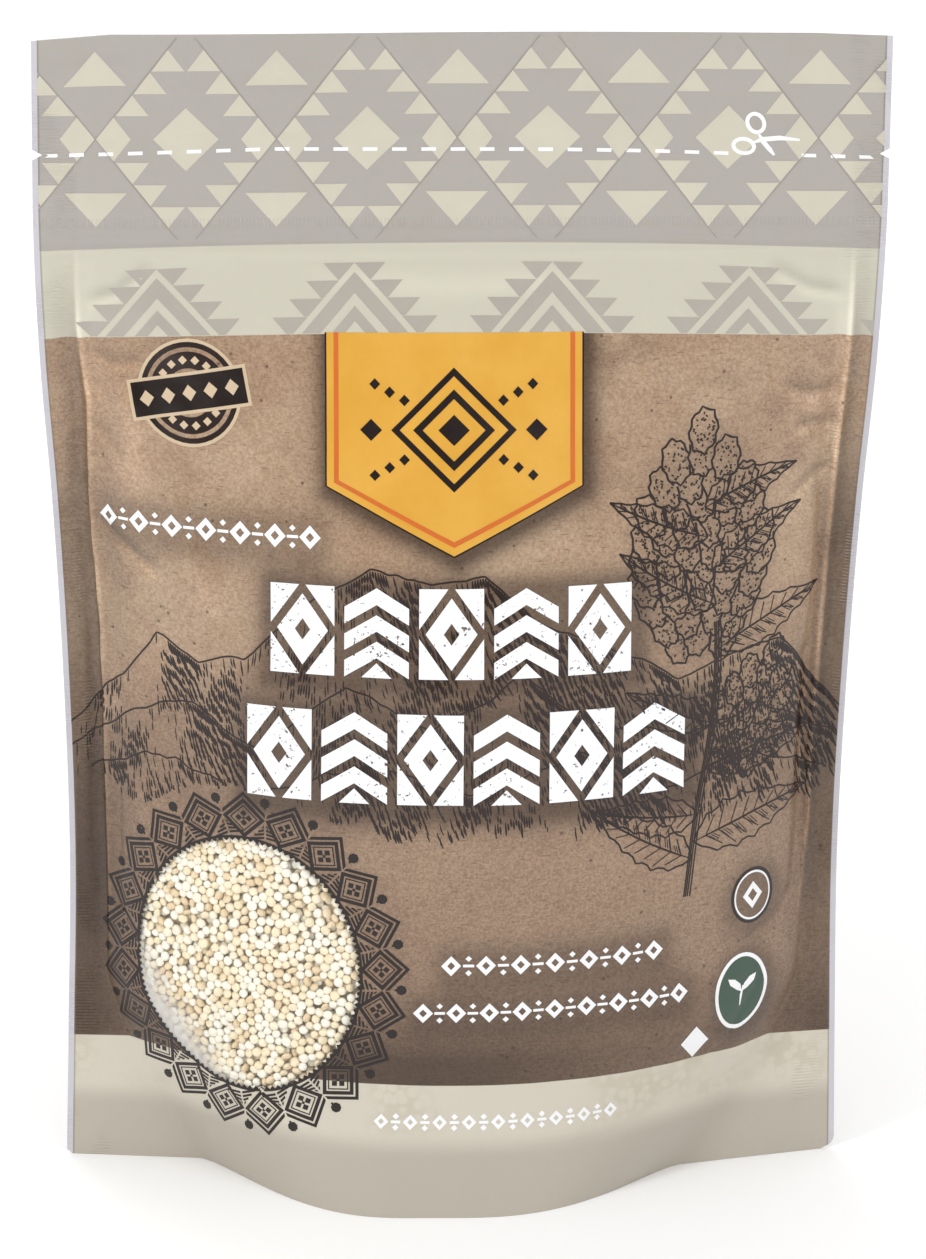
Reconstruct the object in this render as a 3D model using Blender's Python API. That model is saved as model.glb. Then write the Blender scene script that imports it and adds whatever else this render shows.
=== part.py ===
"""A shut stand-up pouch of white quinoa with a clear window low on its front.

Units are metres and +Z is up. The pouch stands on the rim of its gusset, its front
faces -Y, and the origin is on the floor under its middle.

The film is described in flat coordinates, as it was before the pouch was filled:
u runs across the front from the middle, and v runs up from the bottom edge. One
function, film_point, turns a flat place into a place on the filled pouch.
"""
import math

import bmesh
import bpy
import numpy as np
from mathutils import Vector
from mathutils.geometry import delaunay_2d_cdt

# Flat pouch
WIDTH = 0.178
HEIGHT = 0.254
SEAL_HALF_THICKNESS = 0.0005
SIDE_SEAL = 0.008

# Filled pouch: half of the width that is left between the side edges
EDGE_HEIGHTS = (0.0, 0.030, 0.070, 0.118, 0.152, 0.183, 0.206, 0.216, HEIGHT)
EDGE_REACH = (0.0836, 0.0830, 0.0824, 0.0837, 0.0855, 0.0878, 0.0888, 0.0890, 0.0890)

# Filled pouch: how far the middle of each face stands out
BELLY_HEIGHTS = (0.0, 0.014, 0.030, 0.050, 0.075, 0.105, 0.140, 0.170, 0.190, 0.203, 0.210, HEIGHT)
BELLY_DEPTHS = (0.0340, 0.0300, 0.0280, 0.0285, 0.0284, 0.0262, 0.0212, 0.0132, 0.0062, 0.0014, 0.0, 0.0)

# Corner webs: the flat side seals widen and bend forwards towards the bottom,
# and the belly leans left
WEB_HEIGHT = 0.044
WEB_LEFT = 0.0206
WEB_RIGHT = 0.0256
WEB_POWER = 1.3
WEB_BEND_LEFT = 0.003
WEB_BEND_RIGHT = 0.008
BELLY_LEAN = 0.007

# Cross-section of the belly: depth = (1 - r^round)^side
ROUND_BELLY = 2.0
SIDE_BELLY = 1.0
ROUND_BOTTOM = 2.6
SIDE_BOTTOM = 1.5

# Press-to-close zip: two low ridges across both faces
ZIP_RIDGES = (0.2068, 0.2112)
ZIP_RIDGE_HEIGHT = 0.0006
ZIP_RIDGE_FLAT = 0.0006
ZIP_RIDGE_FOOT = 0.0012

# Tear notches
NOTCH_HEIGHT = 0.2279
NOTCH_DEPTH = 0.0022
NOTCH_HALF_OPENING = 0.0012

# Top corners, cut a little low
CORNER_DROP_LEFT = 0.0014
CORNER_DROP_RIGHT = 0.0006

# Base: the rim that the pouch stands on, the groove inside it and the flat of the gusset
RIM_WALL = 0.0016
RIM_LEAST = 0.0012
GROOVE_TOP = 0.009
GUSSET_FLAT_PART = 0.42

# Window and its contents, in flat coordinates
WINDOW_U = -0.0462
WINDOW_V = 0.0528
WINDOW_HALF_WIDTH = 0.0256
WINDOW_HALF_HEIGHT = 0.0293
WINDOW_POINTS = 72
POCKET_DEPTH = 0.0040
GAP = 0.0003

# Grains that show in the window
GRAIN_PITCH = 0.00226
GRAIN_TOP_INSET = 0.00045
GRAIN_SHOULDER_INSET = 0.00070
GRAIN_VALLEY_INSET = 0.00175
GRAIN_SHOULDER = 0.33
GRAIN_SIDES = 5
GRAIN_SEED = 7

# Mesh
ACROSS = 22
SECTION_SAMPLES = 161
SLOPE_STEP = 0.0002

KRAFT_BROWN = (0.34, 0.25, 0.18, 1.0)
GRAIN_IVORY = (0.72, 0.62, 0.44, 1.0)


def start_empty():
    """Remove whatever the scene holds."""
    for old in list(bpy.data.objects):
        bpy.data.objects.remove(old, do_unlink=True)


def material(name, colour, roughness, metallic=0.0):
    """A Principled material in one colour."""
    made = bpy.data.materials.new(name)
    made.use_nodes = True
    shader = made.node_tree.nodes["Principled BSDF"]
    shader.inputs["Base Color"].default_value = colour
    shader.inputs["Roughness"].default_value = roughness
    shader.inputs["Metallic"].default_value = metallic
    return made


def new_object(name, points, faces, surface=None):
    """One object from points and faces, its normals turned outwards."""
    mesh = bpy.data.meshes.new(name)
    mesh.from_pydata([tuple(p) for p in points], [], faces)
    shape = bmesh.new()
    shape.from_mesh(mesh)
    bmesh.ops.recalc_face_normals(shape, faces=shape.faces)
    bmesh.ops.triangulate(shape, faces=shape.faces)
    shape.to_mesh(mesh)
    shape.free()
    made = bpy.data.objects.new(name, mesh)
    bpy.context.scene.collection.objects.link(made)
    if surface:
        mesh.materials.append(surface)
    return made


def smooth_value(heights, values, v):
    """A smooth curve through pairs of height and value, read at height v."""
    h = np.array(heights)
    y = np.array(values)
    slope = np.gradient(y, h)
    i = int(np.clip(np.searchsorted(h, v) - 1, 0, len(h) - 2))
    step = h[i + 1] - h[i]
    t = min(max((v - h[i]) / step, 0.0), 1.0)
    start = (2 * t**3 - 3 * t**2 + 1) * y[i] + (t**3 - 2 * t**2 + t) * step * slope[i]
    end = (3 * t**2 - 2 * t**3) * y[i + 1] + (t**3 - t**2) * step * slope[i + 1]
    return start + end


def edge_reach(v):
    """How far the side edges lie from the middle at height v."""
    return min(smooth_value(EDGE_HEIGHTS, EDGE_REACH, v), WIDTH / 2)


def web_share(v):
    """1 at the bottom edge, falling to 0 where the corner webs end."""
    return max(1.0 - v / WEB_HEIGHT, 0.0) ** WEB_POWER


def belly_limits(v):
    """Left end, peak and right end of the belly along x at height v."""
    reach = edge_reach(v)
    share = web_share(v)
    left = -reach + SIDE_SEAL + WEB_LEFT * share
    right = reach - SIDE_SEAL - WEB_RIGHT * share
    return left, -BELLY_LEAN * share, right


def half_depth(x, v):
    """How far the front or the back stands out from the middle plane."""
    left, peak, right = belly_limits(v)
    share = web_share(v)
    roundness = ROUND_BELLY + (ROUND_BOTTOM - ROUND_BELLY) * share
    side = SIDE_BELLY + (SIDE_BOTTOM - SIDE_BELLY) * share
    half = np.where(x < peak, peak - left, right - peak)
    r = np.clip(np.abs(x - peak) / half, 0.0, 1.0)
    depth = max(smooth_value(BELLY_HEIGHTS, BELLY_DEPTHS, v), 0.0)
    return SEAL_HALF_THICKNESS + depth * (1.0 - r**roundness) ** side


def middle_bend(x, v):
    """How far the corner webs carry the middle plane forwards."""
    reach = edge_reach(v)
    left, peak, right = belly_limits(v)
    end = np.where(x < peak, left, right)
    edge = np.where(x < peak, -reach, reach)
    bend = np.where(x < peak, WEB_BEND_LEFT, WEB_BEND_RIGHT)
    on_web = np.clip((edge - x) / (edge - end), 0.0, 1.0)
    in_belly = np.clip((x - peak) / (end - peak), 0.0, 1.0)
    return -bend * web_share(v) * on_web * in_belly**2 * (3 - 2 * in_belly)


def front_y(x, v):
    """The front film over place x at height v."""
    return middle_bend(x, v) - half_depth(x, v)


def film_x(u, v):
    """Where flat place u lies along x once the film is bowed out."""
    reach = edge_reach(v)
    x = np.linspace(-reach, reach, SECTION_SAMPLES)
    y = front_y(x, v)
    length = np.concatenate(([0.0], np.cumsum(np.hypot(np.diff(x), np.diff(y)))))
    flat = (length / length[-1] - 0.5) * WIDTH
    return float(np.interp(u, flat, x))


def on_film(u, v):
    """A flat place of the front film, on the filled pouch."""
    x = film_x(u, v)
    return Vector((x, float(front_y(x, v)), v))


def film_point(u, v, inset=0.0):
    """A flat place of the front film, moved inwards along the film's normal."""
    along = on_film(u + SLOPE_STEP, v) - on_film(u - SLOPE_STEP, v)
    upward = on_film(u, v + SLOPE_STEP) - on_film(u, v - SLOPE_STEP)
    outward = along.cross(upward).normalized()
    return on_film(u, v) - outward * inset


def ridge_rows(centre):
    """Heights and relief of one zip ridge."""
    foot = ZIP_RIDGE_FOOT
    flat = ZIP_RIDGE_FLAT
    return [(centre - foot, 0.0), (centre - flat, ZIP_RIDGE_HEIGHT),
            (centre + flat, ZIP_RIDGE_HEIGHT), (centre + foot, 0.0)]


def body_rows():
    """Heights of the rows of the pouch body, each with the zip's relief."""
    skirt = [0.0, 0.004, 0.009, 0.015, 0.022, 0.030]
    belly = list(np.arange(0.040, 0.172, 0.011)) + [0.176, 0.184, 0.191, 0.197, 0.202]
    rows = [(v, 0.0) for v in skirt + belly]
    for centre in ZIP_RIDGES:
        rows += ridge_rows(centre)
    return rows + [(0.218, 0.0), (0.231, 0.0), (HEIGHT, 0.0)]


def body_columns(v):
    """Places along x of the columns at height v."""
    reach = edge_reach(v)
    left, _, right = belly_limits(v)
    return np.concatenate(([-reach], np.linspace(left, right, ACROSS + 1), [reach]))


def top_drop(x, v):
    """How far the top edge falls off at its corners."""
    if v < HEIGHT:
        return 0.0
    past = abs(x) - (WIDTH / 2 - SIDE_SEAL)
    drop = CORNER_DROP_LEFT if x < 0 else CORNER_DROP_RIGHT
    return drop * max(past, 0.0) / SIDE_SEAL


def pouch_body(surface):
    """The shut pouch without its window, groove and notches."""
    points = []
    for v, relief in body_rows():
        x = body_columns(v)
        half = half_depth(x, v)
        half[1:-1] += relief
        middle = middle_bend(x, v)
        front = [(a, m - h, v - top_drop(a, v)) for a, m, h in zip(x, middle, half)]
        back = [(a, m + h, v - top_drop(a, v)) for a, m, h in zip(x, middle, half)][::-1]
        points += front + back
    count = ACROSS + 3
    ring = 2 * count
    faces = []
    for row in range(len(body_rows()) - 1):
        for i in range(ring):
            a = row * ring + i
            b = row * ring + (i + 1) % ring
            faces.append((a, b, b + ring, a + ring))
    top = (len(body_rows()) - 1) * ring
    for i in range(count - 1):
        mate = ring - 1 - i
        faces.append((i, mate, mate - 1, i + 1))
        faces.append((top + i, top + i + 1, top + mate - 1, top + mate))
    return new_object("pouch", points, faces, surface)


def rim_outline(v, inner):
    """Outline of the hollow inside the rim at height v, scaled by inner."""
    left, peak, right = belly_limits(0.0)
    x = np.linspace(left, right, 401)
    wall = half_depth(x, 0.0) - RIM_WALL
    inside = x[wall > RIM_LEAST]
    x = peak + (np.linspace(inside[0], inside[-1], 20) - peak) * inner
    stretched = peak + (x - peak) / inner
    half = (half_depth(stretched, v) - RIM_WALL) * inner
    middle = middle_bend(stretched, v) * inner
    front = list(zip(x, middle - half))
    back = list(zip(x, middle + half))[::-1]
    return front + back


def base_groove():
    """Cutter for the groove between the rim and the flat of the gusset."""
    below = -0.002
    flat = GUSSET_FLAT_PART
    steps = [(below, 0.0, 1.0), (0.0, 0.0, 1.0), (0.005, 0.005, 1.0), (GROOVE_TOP, GROOVE_TOP, 0.97),
             (GROOVE_TOP, GROOVE_TOP, 0.86), (0.0065, 0.0, 0.72), (0.0025, 0.0, 0.56),
             (0.0, 0.0, flat), (below, 0.0, flat)]
    points = []
    for z, v, inner in steps:
        points += [(x, y, z) for x, y in rim_outline(v, inner)]
    ring = len(rim_outline(0.0, 1.0))
    faces = []
    for k in range(len(steps)):
        here = k * ring
        there = ((k + 1) % len(steps)) * ring
        for i in range(ring):
            j = (i + 1) % ring
            faces.append((here + i, here + j, there + j, there + i))
    return new_object("base_groove", points, faces)


def window_ring(part, shrink=0.0):
    """Flat places round the window, at part of its size and shrunk by a gap."""
    places = []
    for k in range(WINDOW_POINTS):
        turn = 2 * math.pi * k / WINDOW_POINTS
        u = WINDOW_U + (WINDOW_HALF_WIDTH - shrink) * part * math.cos(turn)
        v = WINDOW_V + (WINDOW_HALF_HEIGHT - shrink) * part * math.sin(turn)
        places.append((u, v))
    return places


def back_places(shrink):
    """Flat places for the smooth back of the contents, and for the pocket's floor."""
    places = window_ring(1.0, shrink)
    places += window_ring(0.75, shrink)[::3]
    places += window_ring(0.48, shrink)[::6]
    places += window_ring(0.22, shrink)[::12]
    return places


def sheet_faces(places):
    """Triangles over flat places, the first of which are the window's outline."""
    flat = [Vector(p) for p in places]
    rim = [(k, (k + 1) % WINDOW_POINTS) for k in range(WINDOW_POINTS)]
    points, _, faces, origin, _, _ = delaunay_2d_cdt(flat, rim, [], 1, 1e-7)
    assert len(points) == len(places)
    return [tuple(origin[i][0] for i in face) for face in faces]


def slab(name, front, front_inset, back, back_inset, surface=None):
    """A closed slab between two sheets that share the window's outline."""
    points = [film_point(u, v, d) for (u, v), d in zip(front, front_inset)]
    points += [film_point(u, v, back_inset) for u, v in back]
    start = len(front)
    faces = sheet_faces(front)
    faces += [tuple(start + i for i in reversed(face)) for face in sheet_faces(back)]
    for k in range(WINDOW_POINTS):
        j = (k + 1) % WINDOW_POINTS
        faces.append((k, start + k, start + j, j))
    return new_object(name, points, faces, surface)


def window_pocket():
    """Cutter for the shallow pocket behind the window."""
    places = back_places(0.0)
    return slab("window_pocket", places, [-0.002] * len(places), places, POCKET_DEPTH)


def inside_window(u, v, margin):
    """Whether a flat place lies inside the window by at least the margin."""
    a = (u - WINDOW_U) / (WINDOW_HALF_WIDTH - margin)
    b = (v - WINDOW_V) / (WINDOW_HALF_HEIGHT - margin)
    return a * a + b * b < 1.0


def grain_lattice():
    """Middles of the grains on a slightly uneven triangular lattice, by row and column."""
    chance = np.random.default_rng(GRAIN_SEED)
    span = range(-20, 21)
    lattice = {}
    for row in span:
        for column in span:
            shake = chance.uniform(-0.11, 0.11, 2) * GRAIN_PITCH
            u = WINDOW_U + (column + 0.5 * (row % 2)) * GRAIN_PITCH + shake[0]
            v = WINDOW_V + row * GRAIN_PITCH * math.sqrt(3) / 2 + shake[1]
            lattice[row, column] = (u, v)
    return lattice


def grain_places(lattice):
    """Flat places and insets of the grains that show: tops, shoulders and valleys."""
    chance = np.random.default_rng(GRAIN_SEED + 1)
    places = []
    insets = []
    for u, v in lattice.values():
        sunk = chance.uniform(0.0, 0.0004)
        turn = chance.uniform(0.0, 2 * math.pi)
        radius = GRAIN_SHOULDER * GRAIN_PITCH * chance.uniform(0.85, 1.08)
        if inside_window(u, v, 0.0013):
            places.append((u, v))
            insets.append(GRAIN_TOP_INSET + sunk)
            for k in range(GRAIN_SIDES):
                angle = turn + 2 * math.pi * k / GRAIN_SIDES
                places.append((u + radius * math.cos(angle), v + radius * math.sin(angle)))
                insets.append(GRAIN_SHOULDER_INSET + sunk)
    for (row, column), here in lattice.items():
        shift = row % 2
        for upper in ((row + 1, column + shift - 1), (row + 1, column + shift)):
            second = (row, column - 1) if upper[1] == column + shift - 1 else (row + 1, column + shift - 1)
            if upper not in lattice or second not in lattice:
                continue
            corners = (here, lattice[upper], lattice[second])
            u = sum(p[0] for p in corners) / 3
            v = sum(p[1] for p in corners) / 3
            if inside_window(u, v, 0.0010):
                places.append((u, v))
                insets.append(GRAIN_VALLEY_INSET)
    return places, insets


def quinoa_in_window(surface):
    """The heap that shows in the window: a core whose front is all grains."""
    rim = window_ring(1.0, GAP)
    grains, insets = grain_places(grain_lattice())
    front = rim + grains
    front_inset = [GRAIN_VALLEY_INSET] * len(rim) + insets
    return slab("quinoa", front, front_inset, back_places(GAP), POCKET_DEPTH - GAP, surface)


def notch_cutter(side):
    """Wedge for the tear notch in one side seal."""
    edge = side * (WIDTH / 2)
    outside = edge + side * 0.002
    tip = edge - side * NOTCH_DEPTH
    wide = NOTCH_HALF_OPENING
    outline = [(outside, -wide), (edge, -wide), (tip, 0.0), (edge, wide), (outside, wide)]
    points = []
    for y in (-0.004, 0.004):
        points += [(x, y, NOTCH_HEIGHT + z) for x, z in outline]
    faces = [(0, 1, 2, 3, 4), (9, 8, 7, 6, 5)]
    faces += [(k, (k + 1) % 5, 5 + (k + 1) % 5, 5 + k) for k in range(5)]
    return new_object("tear_notch_left" if side < 0 else "tear_notch_right", points, faces)


def cut(target, cutter):
    """Take a cutter's shape out of the target."""
    cutter.hide_render = True
    cutter.display_type = "WIRE"
    cutter.hide_set(True)
    change = target.modifiers.new(cutter.name, "BOOLEAN")
    change.operation = "DIFFERENCE"
    change.solver = "EXACT"
    change.object = cutter


def main():
    start_empty()
    pouch = pouch_body(material("kraft_film", KRAFT_BROWN, 0.42))
    cut(pouch, base_groove())
    cut(pouch, window_pocket())
    cut(pouch, notch_cutter(-1))
    cut(pouch, notch_cutter(1))
    quinoa_in_window(material("quinoa_grain", GRAIN_IVORY, 0.6))


main()
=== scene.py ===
# %% [markdown]
# # A stand-up pouch of white quinoa
# The object is a shut laminate pouch. A kraft brown front carries a pale header, a woven
# pattern and a round clear window with grain behind it. The whole pouch is one bent film,
# so one table of film places drives everything: the shell, the print that lies on it, the
# window and the grain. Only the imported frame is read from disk.

# %% Load the frame
import math

import bpy
import numpy as np
from mathutils import Matrix, Vector
from mathutils.geometry import delaunay_2d_cdt, tessellate_polygon


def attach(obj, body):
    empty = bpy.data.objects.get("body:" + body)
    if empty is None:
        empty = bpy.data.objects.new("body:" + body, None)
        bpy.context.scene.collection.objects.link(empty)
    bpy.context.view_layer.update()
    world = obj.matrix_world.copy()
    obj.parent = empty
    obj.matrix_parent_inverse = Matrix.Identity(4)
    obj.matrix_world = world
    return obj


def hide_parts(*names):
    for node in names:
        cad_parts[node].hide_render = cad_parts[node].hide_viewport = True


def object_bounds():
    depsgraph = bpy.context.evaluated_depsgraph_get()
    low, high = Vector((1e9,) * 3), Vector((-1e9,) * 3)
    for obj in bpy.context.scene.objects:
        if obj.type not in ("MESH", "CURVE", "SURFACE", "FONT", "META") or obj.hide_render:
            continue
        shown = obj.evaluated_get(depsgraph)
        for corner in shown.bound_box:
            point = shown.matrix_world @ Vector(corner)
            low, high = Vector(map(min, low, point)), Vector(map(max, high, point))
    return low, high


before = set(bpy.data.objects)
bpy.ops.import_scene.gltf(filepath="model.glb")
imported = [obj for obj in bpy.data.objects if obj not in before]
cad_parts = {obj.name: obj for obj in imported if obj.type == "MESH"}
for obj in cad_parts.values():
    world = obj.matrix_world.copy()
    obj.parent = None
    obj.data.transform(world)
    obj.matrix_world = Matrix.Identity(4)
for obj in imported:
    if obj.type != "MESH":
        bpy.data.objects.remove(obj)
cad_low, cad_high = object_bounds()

print("frame box in mm:", [round(1000 * (b - a), 1) for a, b in zip(cad_low, cad_high)])

# %% [markdown]
# ## The viewpoint
# The camera comes first, because it settles what the photograph shows. It stands well back
# with a long lens, looks down on the pouch by about twenty degrees, and is turned by a
# hair. The angles were found by matching the pouch's corners, notches and bottom edge. The
# lens is worked out from the picture's height, which is its long side.

# %% Camera
def in_scene(name, data):
    """A new object with some data, in the scene."""
    made = bpy.data.objects.new(name, data)
    bpy.context.scene.collection.objects.link(made)
    return made


PICTURE_WIDTH = 926
PICTURE_HEIGHT = 1259
SENSOR_MM = 36.0
FOCAL_PIXELS = 8005.8
CAMERA_TURN = math.radians(2.5)
CAMERA_RISE = math.radians(21.5)
CAMERA_ROLL = math.radians(0.62)
CAMERA_DISTANCE = 1.700
CAMERA_TARGET = Vector((0.00138, 0.0, 0.12176))


def add_camera():
    """The photograph's camera."""
    level = math.cos(CAMERA_RISE)
    back = Vector((-level * math.sin(CAMERA_TURN), -level * math.cos(CAMERA_TURN), math.sin(CAMERA_RISE)))
    right = Vector((math.cos(CAMERA_TURN), -math.sin(CAMERA_TURN), 0.0))
    up = back.cross(right)
    across = right * math.cos(CAMERA_ROLL) + up * math.sin(CAMERA_ROLL)
    upward = up * math.cos(CAMERA_ROLL) - right * math.sin(CAMERA_ROLL)
    data = bpy.data.cameras.new("camera")
    data.sensor_width = SENSOR_MM
    data.lens = FOCAL_PIXELS * SENSOR_MM / max(PICTURE_WIDTH, PICTURE_HEIGHT)
    data.clip_start = 0.05
    data.clip_end = 20.0
    made = in_scene("camera", data)
    turn = Matrix((across, upward, back)).transposed().to_4x4()
    made.matrix_world = Matrix.Translation(CAMERA_TARGET + back * CAMERA_DISTANCE) @ turn
    bpy.context.scene.camera = made
    return made


camera = add_camera()
print("lens in mm:", round(camera.data.lens, 1))

# %% [markdown]
# ## The flat pouch and the filled pouch
# A pouch starts as a flat film and takes its form when it is filled. Flat places are named
# u, across from the middle, and v, up from the bottom edge. The sizes below are those of
# the solids, so the dressed pouch lies on them; only its sides rise a little more steeply
# beside the seals. The side edges draw in as the belly fills out, because the film's width
# can't change.

# %% Sizes of the pouch
WIDTH = 0.178
HEIGHT = 0.254
FILM_HALF_THICKNESS = 0.00025
SIDE_SEAL = 0.008
EDGE_HEIGHTS = (0.0, 0.030, 0.070, 0.118, 0.152, 0.183, 0.206, 0.216, HEIGHT)
EDGE_REACH = (0.0836, 0.0830, 0.0824, 0.0837, 0.0855, 0.0878, 0.0888, 0.0890, 0.0890)
BELLY_HEIGHTS = (0.0, 0.014, 0.030, 0.050, 0.075, 0.105, 0.140, 0.170, 0.190, 0.203, 0.210, HEIGHT)
BELLY_DEPTHS = (0.0340, 0.0300, 0.0280, 0.0285, 0.0284, 0.0262, 0.0212, 0.0132, 0.0062, 0.0014, 0.0, 0.0)
WEB_HEIGHT = 0.044
WEB_LEFT = 0.0206
WEB_RIGHT = 0.0256
WEB_POWER = 1.3
WEB_BEND_LEFT = 0.003
WEB_BEND_RIGHT = 0.008
BELLY_LEAN = 0.007
ROUND_BELLY = 2.0
SIDE_BELLY = 0.82
ROUND_BOTTOM = 2.6
SIDE_BOTTOM = 1.5
SECTION_SAMPLES = 801
print("flat pouch in mm:", WIDTH * 1000, "x", HEIGHT * 1000)


# %% How the film bends
def unit(values):
    """Values held between 0 and 1."""
    return np.clip(values, 0.0, 1.0)


def smooth_value(heights, values, v):
    """A smooth curve through pairs of height and value, read at heights v."""
    h = np.array(heights)
    y = np.array(values)
    slope = np.gradient(y, h)
    i = np.clip(np.searchsorted(h, v) - 1, 0, len(h) - 2)
    step = h[i + 1] - h[i]
    t = unit((v - h[i]) / step)
    start = (2 * t**3 - 3 * t**2 + 1) * y[i] + (t**3 - 2 * t**2 + t) * step * slope[i]
    end = (3 * t**2 - 2 * t**3) * y[i + 1] + (t**3 - t**2) * step * slope[i + 1]
    return start + end


def edge_reach(v):
    """How far the side edges lie from the middle at height v."""
    return min(float(smooth_value(EDGE_HEIGHTS, EDGE_REACH, v)), WIDTH / 2)


def web_share(v):
    """1 at the bottom edge, falling to 0 where the corner webs end."""
    return max(1.0 - v / WEB_HEIGHT, 0.0) ** WEB_POWER


def belly_limits(v):
    """Left end, peak and right end of the belly along x at height v."""
    reach = edge_reach(v)
    share = web_share(v)
    left = -reach + SIDE_SEAL + WEB_LEFT * share
    right = reach - SIDE_SEAL - WEB_RIGHT * share
    return left, -BELLY_LEAN * share, right


def half_depth(x, v):
    """How far the front or the back stands out from the middle plane."""
    left, peak, right = belly_limits(v)
    share = web_share(v)
    roundness = ROUND_BELLY + (ROUND_BOTTOM - ROUND_BELLY) * share
    side = SIDE_BELLY + (SIDE_BOTTOM - SIDE_BELLY) * share
    half = np.where(x < peak, peak - left, right - peak)
    r = unit(np.abs(x - peak) / half)
    depth = max(float(smooth_value(BELLY_HEIGHTS, BELLY_DEPTHS, v)), 0.0)
    return FILM_HALF_THICKNESS + depth * (1.0 - r**roundness) ** side


def middle_bend(x, v):
    """How far the corner webs carry the middle plane forwards."""
    reach = edge_reach(v)
    left, peak, right = belly_limits(v)
    end = np.where(x < peak, left, right)
    edge = np.where(x < peak, -reach, reach)
    bend = np.where(x < peak, WEB_BEND_LEFT, WEB_BEND_RIGHT)
    on_web = unit((edge - x) / (edge - end))
    in_belly = unit((x - peak) / (end - peak))
    return -bend * web_share(v) * on_web * in_belly**2 * (3 - 2 * in_belly)


def section_of(v):
    """Places along x of one section, and the flat place of each, by length along the film."""
    reach = edge_reach(v)
    x = np.linspace(-reach, reach, SECTION_SAMPLES)
    y = middle_bend(x, v) - half_depth(x, v)
    length = np.concatenate(([0.0], np.cumsum(np.hypot(np.diff(x), np.diff(y)))))
    return x, (length / length[-1] - 0.5) * WIDTH


deepest = max(half_depth(np.array([0.0]), v)[0] for v in BELLY_HEIGHTS)
print("belly stands out by mm:", round(float(deepest) * 1000, 1))

# %% [markdown]
# ## Rows and columns of the film
# The film is a fine net of rows and columns, a millimetre apart, and closer beside the
# side seals, where the sharpest creases run. Extra rows fall on the tips of the tear
# notches. Near the side edges the columns are squeezed inwards at the notches and at the
# rounded bottom corners, which cuts those shapes into the outline with no boolean.

# %% The film's net
COLUMN_STEPS = ((-89.0, -86.0, 3), (-86.0, -76.0, 22), (-76.0, 76.0, 158), (76.0, 86.0, 22),
                (86.0, 89.0, 3))
ROWS = 266
NOTCH_HEIGHT = 0.2279
NOTCH_DEPTH = 0.0022
NOTCH_HALF_OPENING = 0.0012
SQUEEZE_FROM = 0.082
CORNER_RADIUS_LEFT = 0.0012
CORNER_RADIUS_RIGHT = 0.0030
CORNER_DROP_LEFT = 0.0014
CORNER_DROP_RIGHT = 0.0006
CORNER_DROP_FROM = 0.236

column_parts = [np.linspace(low, high, steps + 1)[:-1] for low, high, steps in COLUMN_STEPS]
column_u = np.concatenate(column_parts + [[COLUMN_STEPS[-1][1]]]) * 0.001
notch_rows = NOTCH_HEIGHT + NOTCH_HALF_OPENING * np.array([-1.0, -0.5, 0.0, 0.5, 1.0])
even_rows = np.linspace(0.0, HEIGHT, ROWS + 1)
clear_of_notch = np.abs(even_rows[:, None] - notch_rows[None, :]).min(axis=1) > 0.0003
row_v = np.sort(np.concatenate((even_rows[clear_of_notch], notch_rows)))


def edge_cut(v, side):
    """How far the outline is cut in at height v, by the notch and the bottom corner."""
    notch = NOTCH_DEPTH * unit(1.0 - np.abs(v - NOTCH_HEIGHT) / NOTCH_HALF_OPENING)
    radius = CORNER_RADIUS_LEFT if side < 0 else CORNER_RADIUS_RIGHT
    below = unit((radius - v) / radius)
    return notch + radius * (1.0 - np.sqrt(1.0 - below**2))


def squeezed(u, v):
    """A flat place moved in from the cut parts of the outline."""
    side = np.where(u < 0, -1.0, 1.0)
    cut = np.where(u < 0, edge_cut(v, -1), edge_cut(v, 1))
    share = unit((np.abs(u) - SQUEEZE_FROM) / (WIDTH / 2 - SQUEEZE_FROM))
    return side * (np.abs(u) - cut * share)


def top_drop(u, v):
    """How far the top corners fall."""
    drop = np.where(u < 0, CORNER_DROP_LEFT, CORNER_DROP_RIGHT)
    past = unit((np.abs(u) - (WIDTH / 2 - 2 * SIDE_SEAL)) / (2 * SIDE_SEAL))
    rise = unit((v - CORNER_DROP_FROM) / (HEIGHT - CORNER_DROP_FROM))
    return drop * past * rise


flat_u, flat_v = np.meshgrid(column_u, row_v)
flat_u = squeezed(flat_u, flat_v)
print("net:", flat_u.shape[1], "columns,", flat_u.shape[0], "rows")

# %% [markdown]
# ## Creases and folds
# A filled pouch is never smooth. The belly meets the side seals in a sharp valley with a
# soft shoulder inside it, short folds run from the seals into the belly, and the header
# waves a little. Each crease is a line on the flat film with a height and a width, and
# the relief is the sum of them. Listed folds land where the real ones are, which
# noise would never do. Quiet seeded waves are laid under them.

# %% Crease shapes
MM = 0.001
WAVES_SUMMED = 14


def along_line(u, v, points):
    """Distance from flat places to a line of points, and how far along the line, 0 to 1."""
    nearest = np.full(u.shape, 1e9)
    share = np.zeros(u.shape)
    spots = np.array(points) * MM
    lengths = np.hypot(*(spots[1:] - spots[:-1]).T)
    total = lengths.sum()
    passed = 0.0
    for start, end, length in zip(spots[:-1], spots[1:], lengths):
        way = (end - start) / length
        reach = np.clip((u - start[0]) * way[0] + (v - start[1]) * way[1], 0.0, length)
        distance = np.hypot(u - start[0] - way[0] * reach, v - start[1] - way[1] * reach)
        closer = distance < nearest
        nearest = np.where(closer, distance, nearest)
        share = np.where(closer, (passed + reach) / total, share)
        passed += length
    return nearest, share


def fold(u, v, points, height, width, power=2):
    """A soft ridge that fades at its ends, or a valley where the height is negative, in mm."""
    distance, share = along_line(u, v, points)
    shape = height * MM * np.exp(-(distance / (width * MM)) ** power)
    return shape * unit(np.sin(math.pi * share) * 1.6)


def crease(u, v, points, height, width):
    """A sharp line with sides that flatten out away from it. Sizes are in mm."""
    return fold(u, v, points, height, width, 1)


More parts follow.
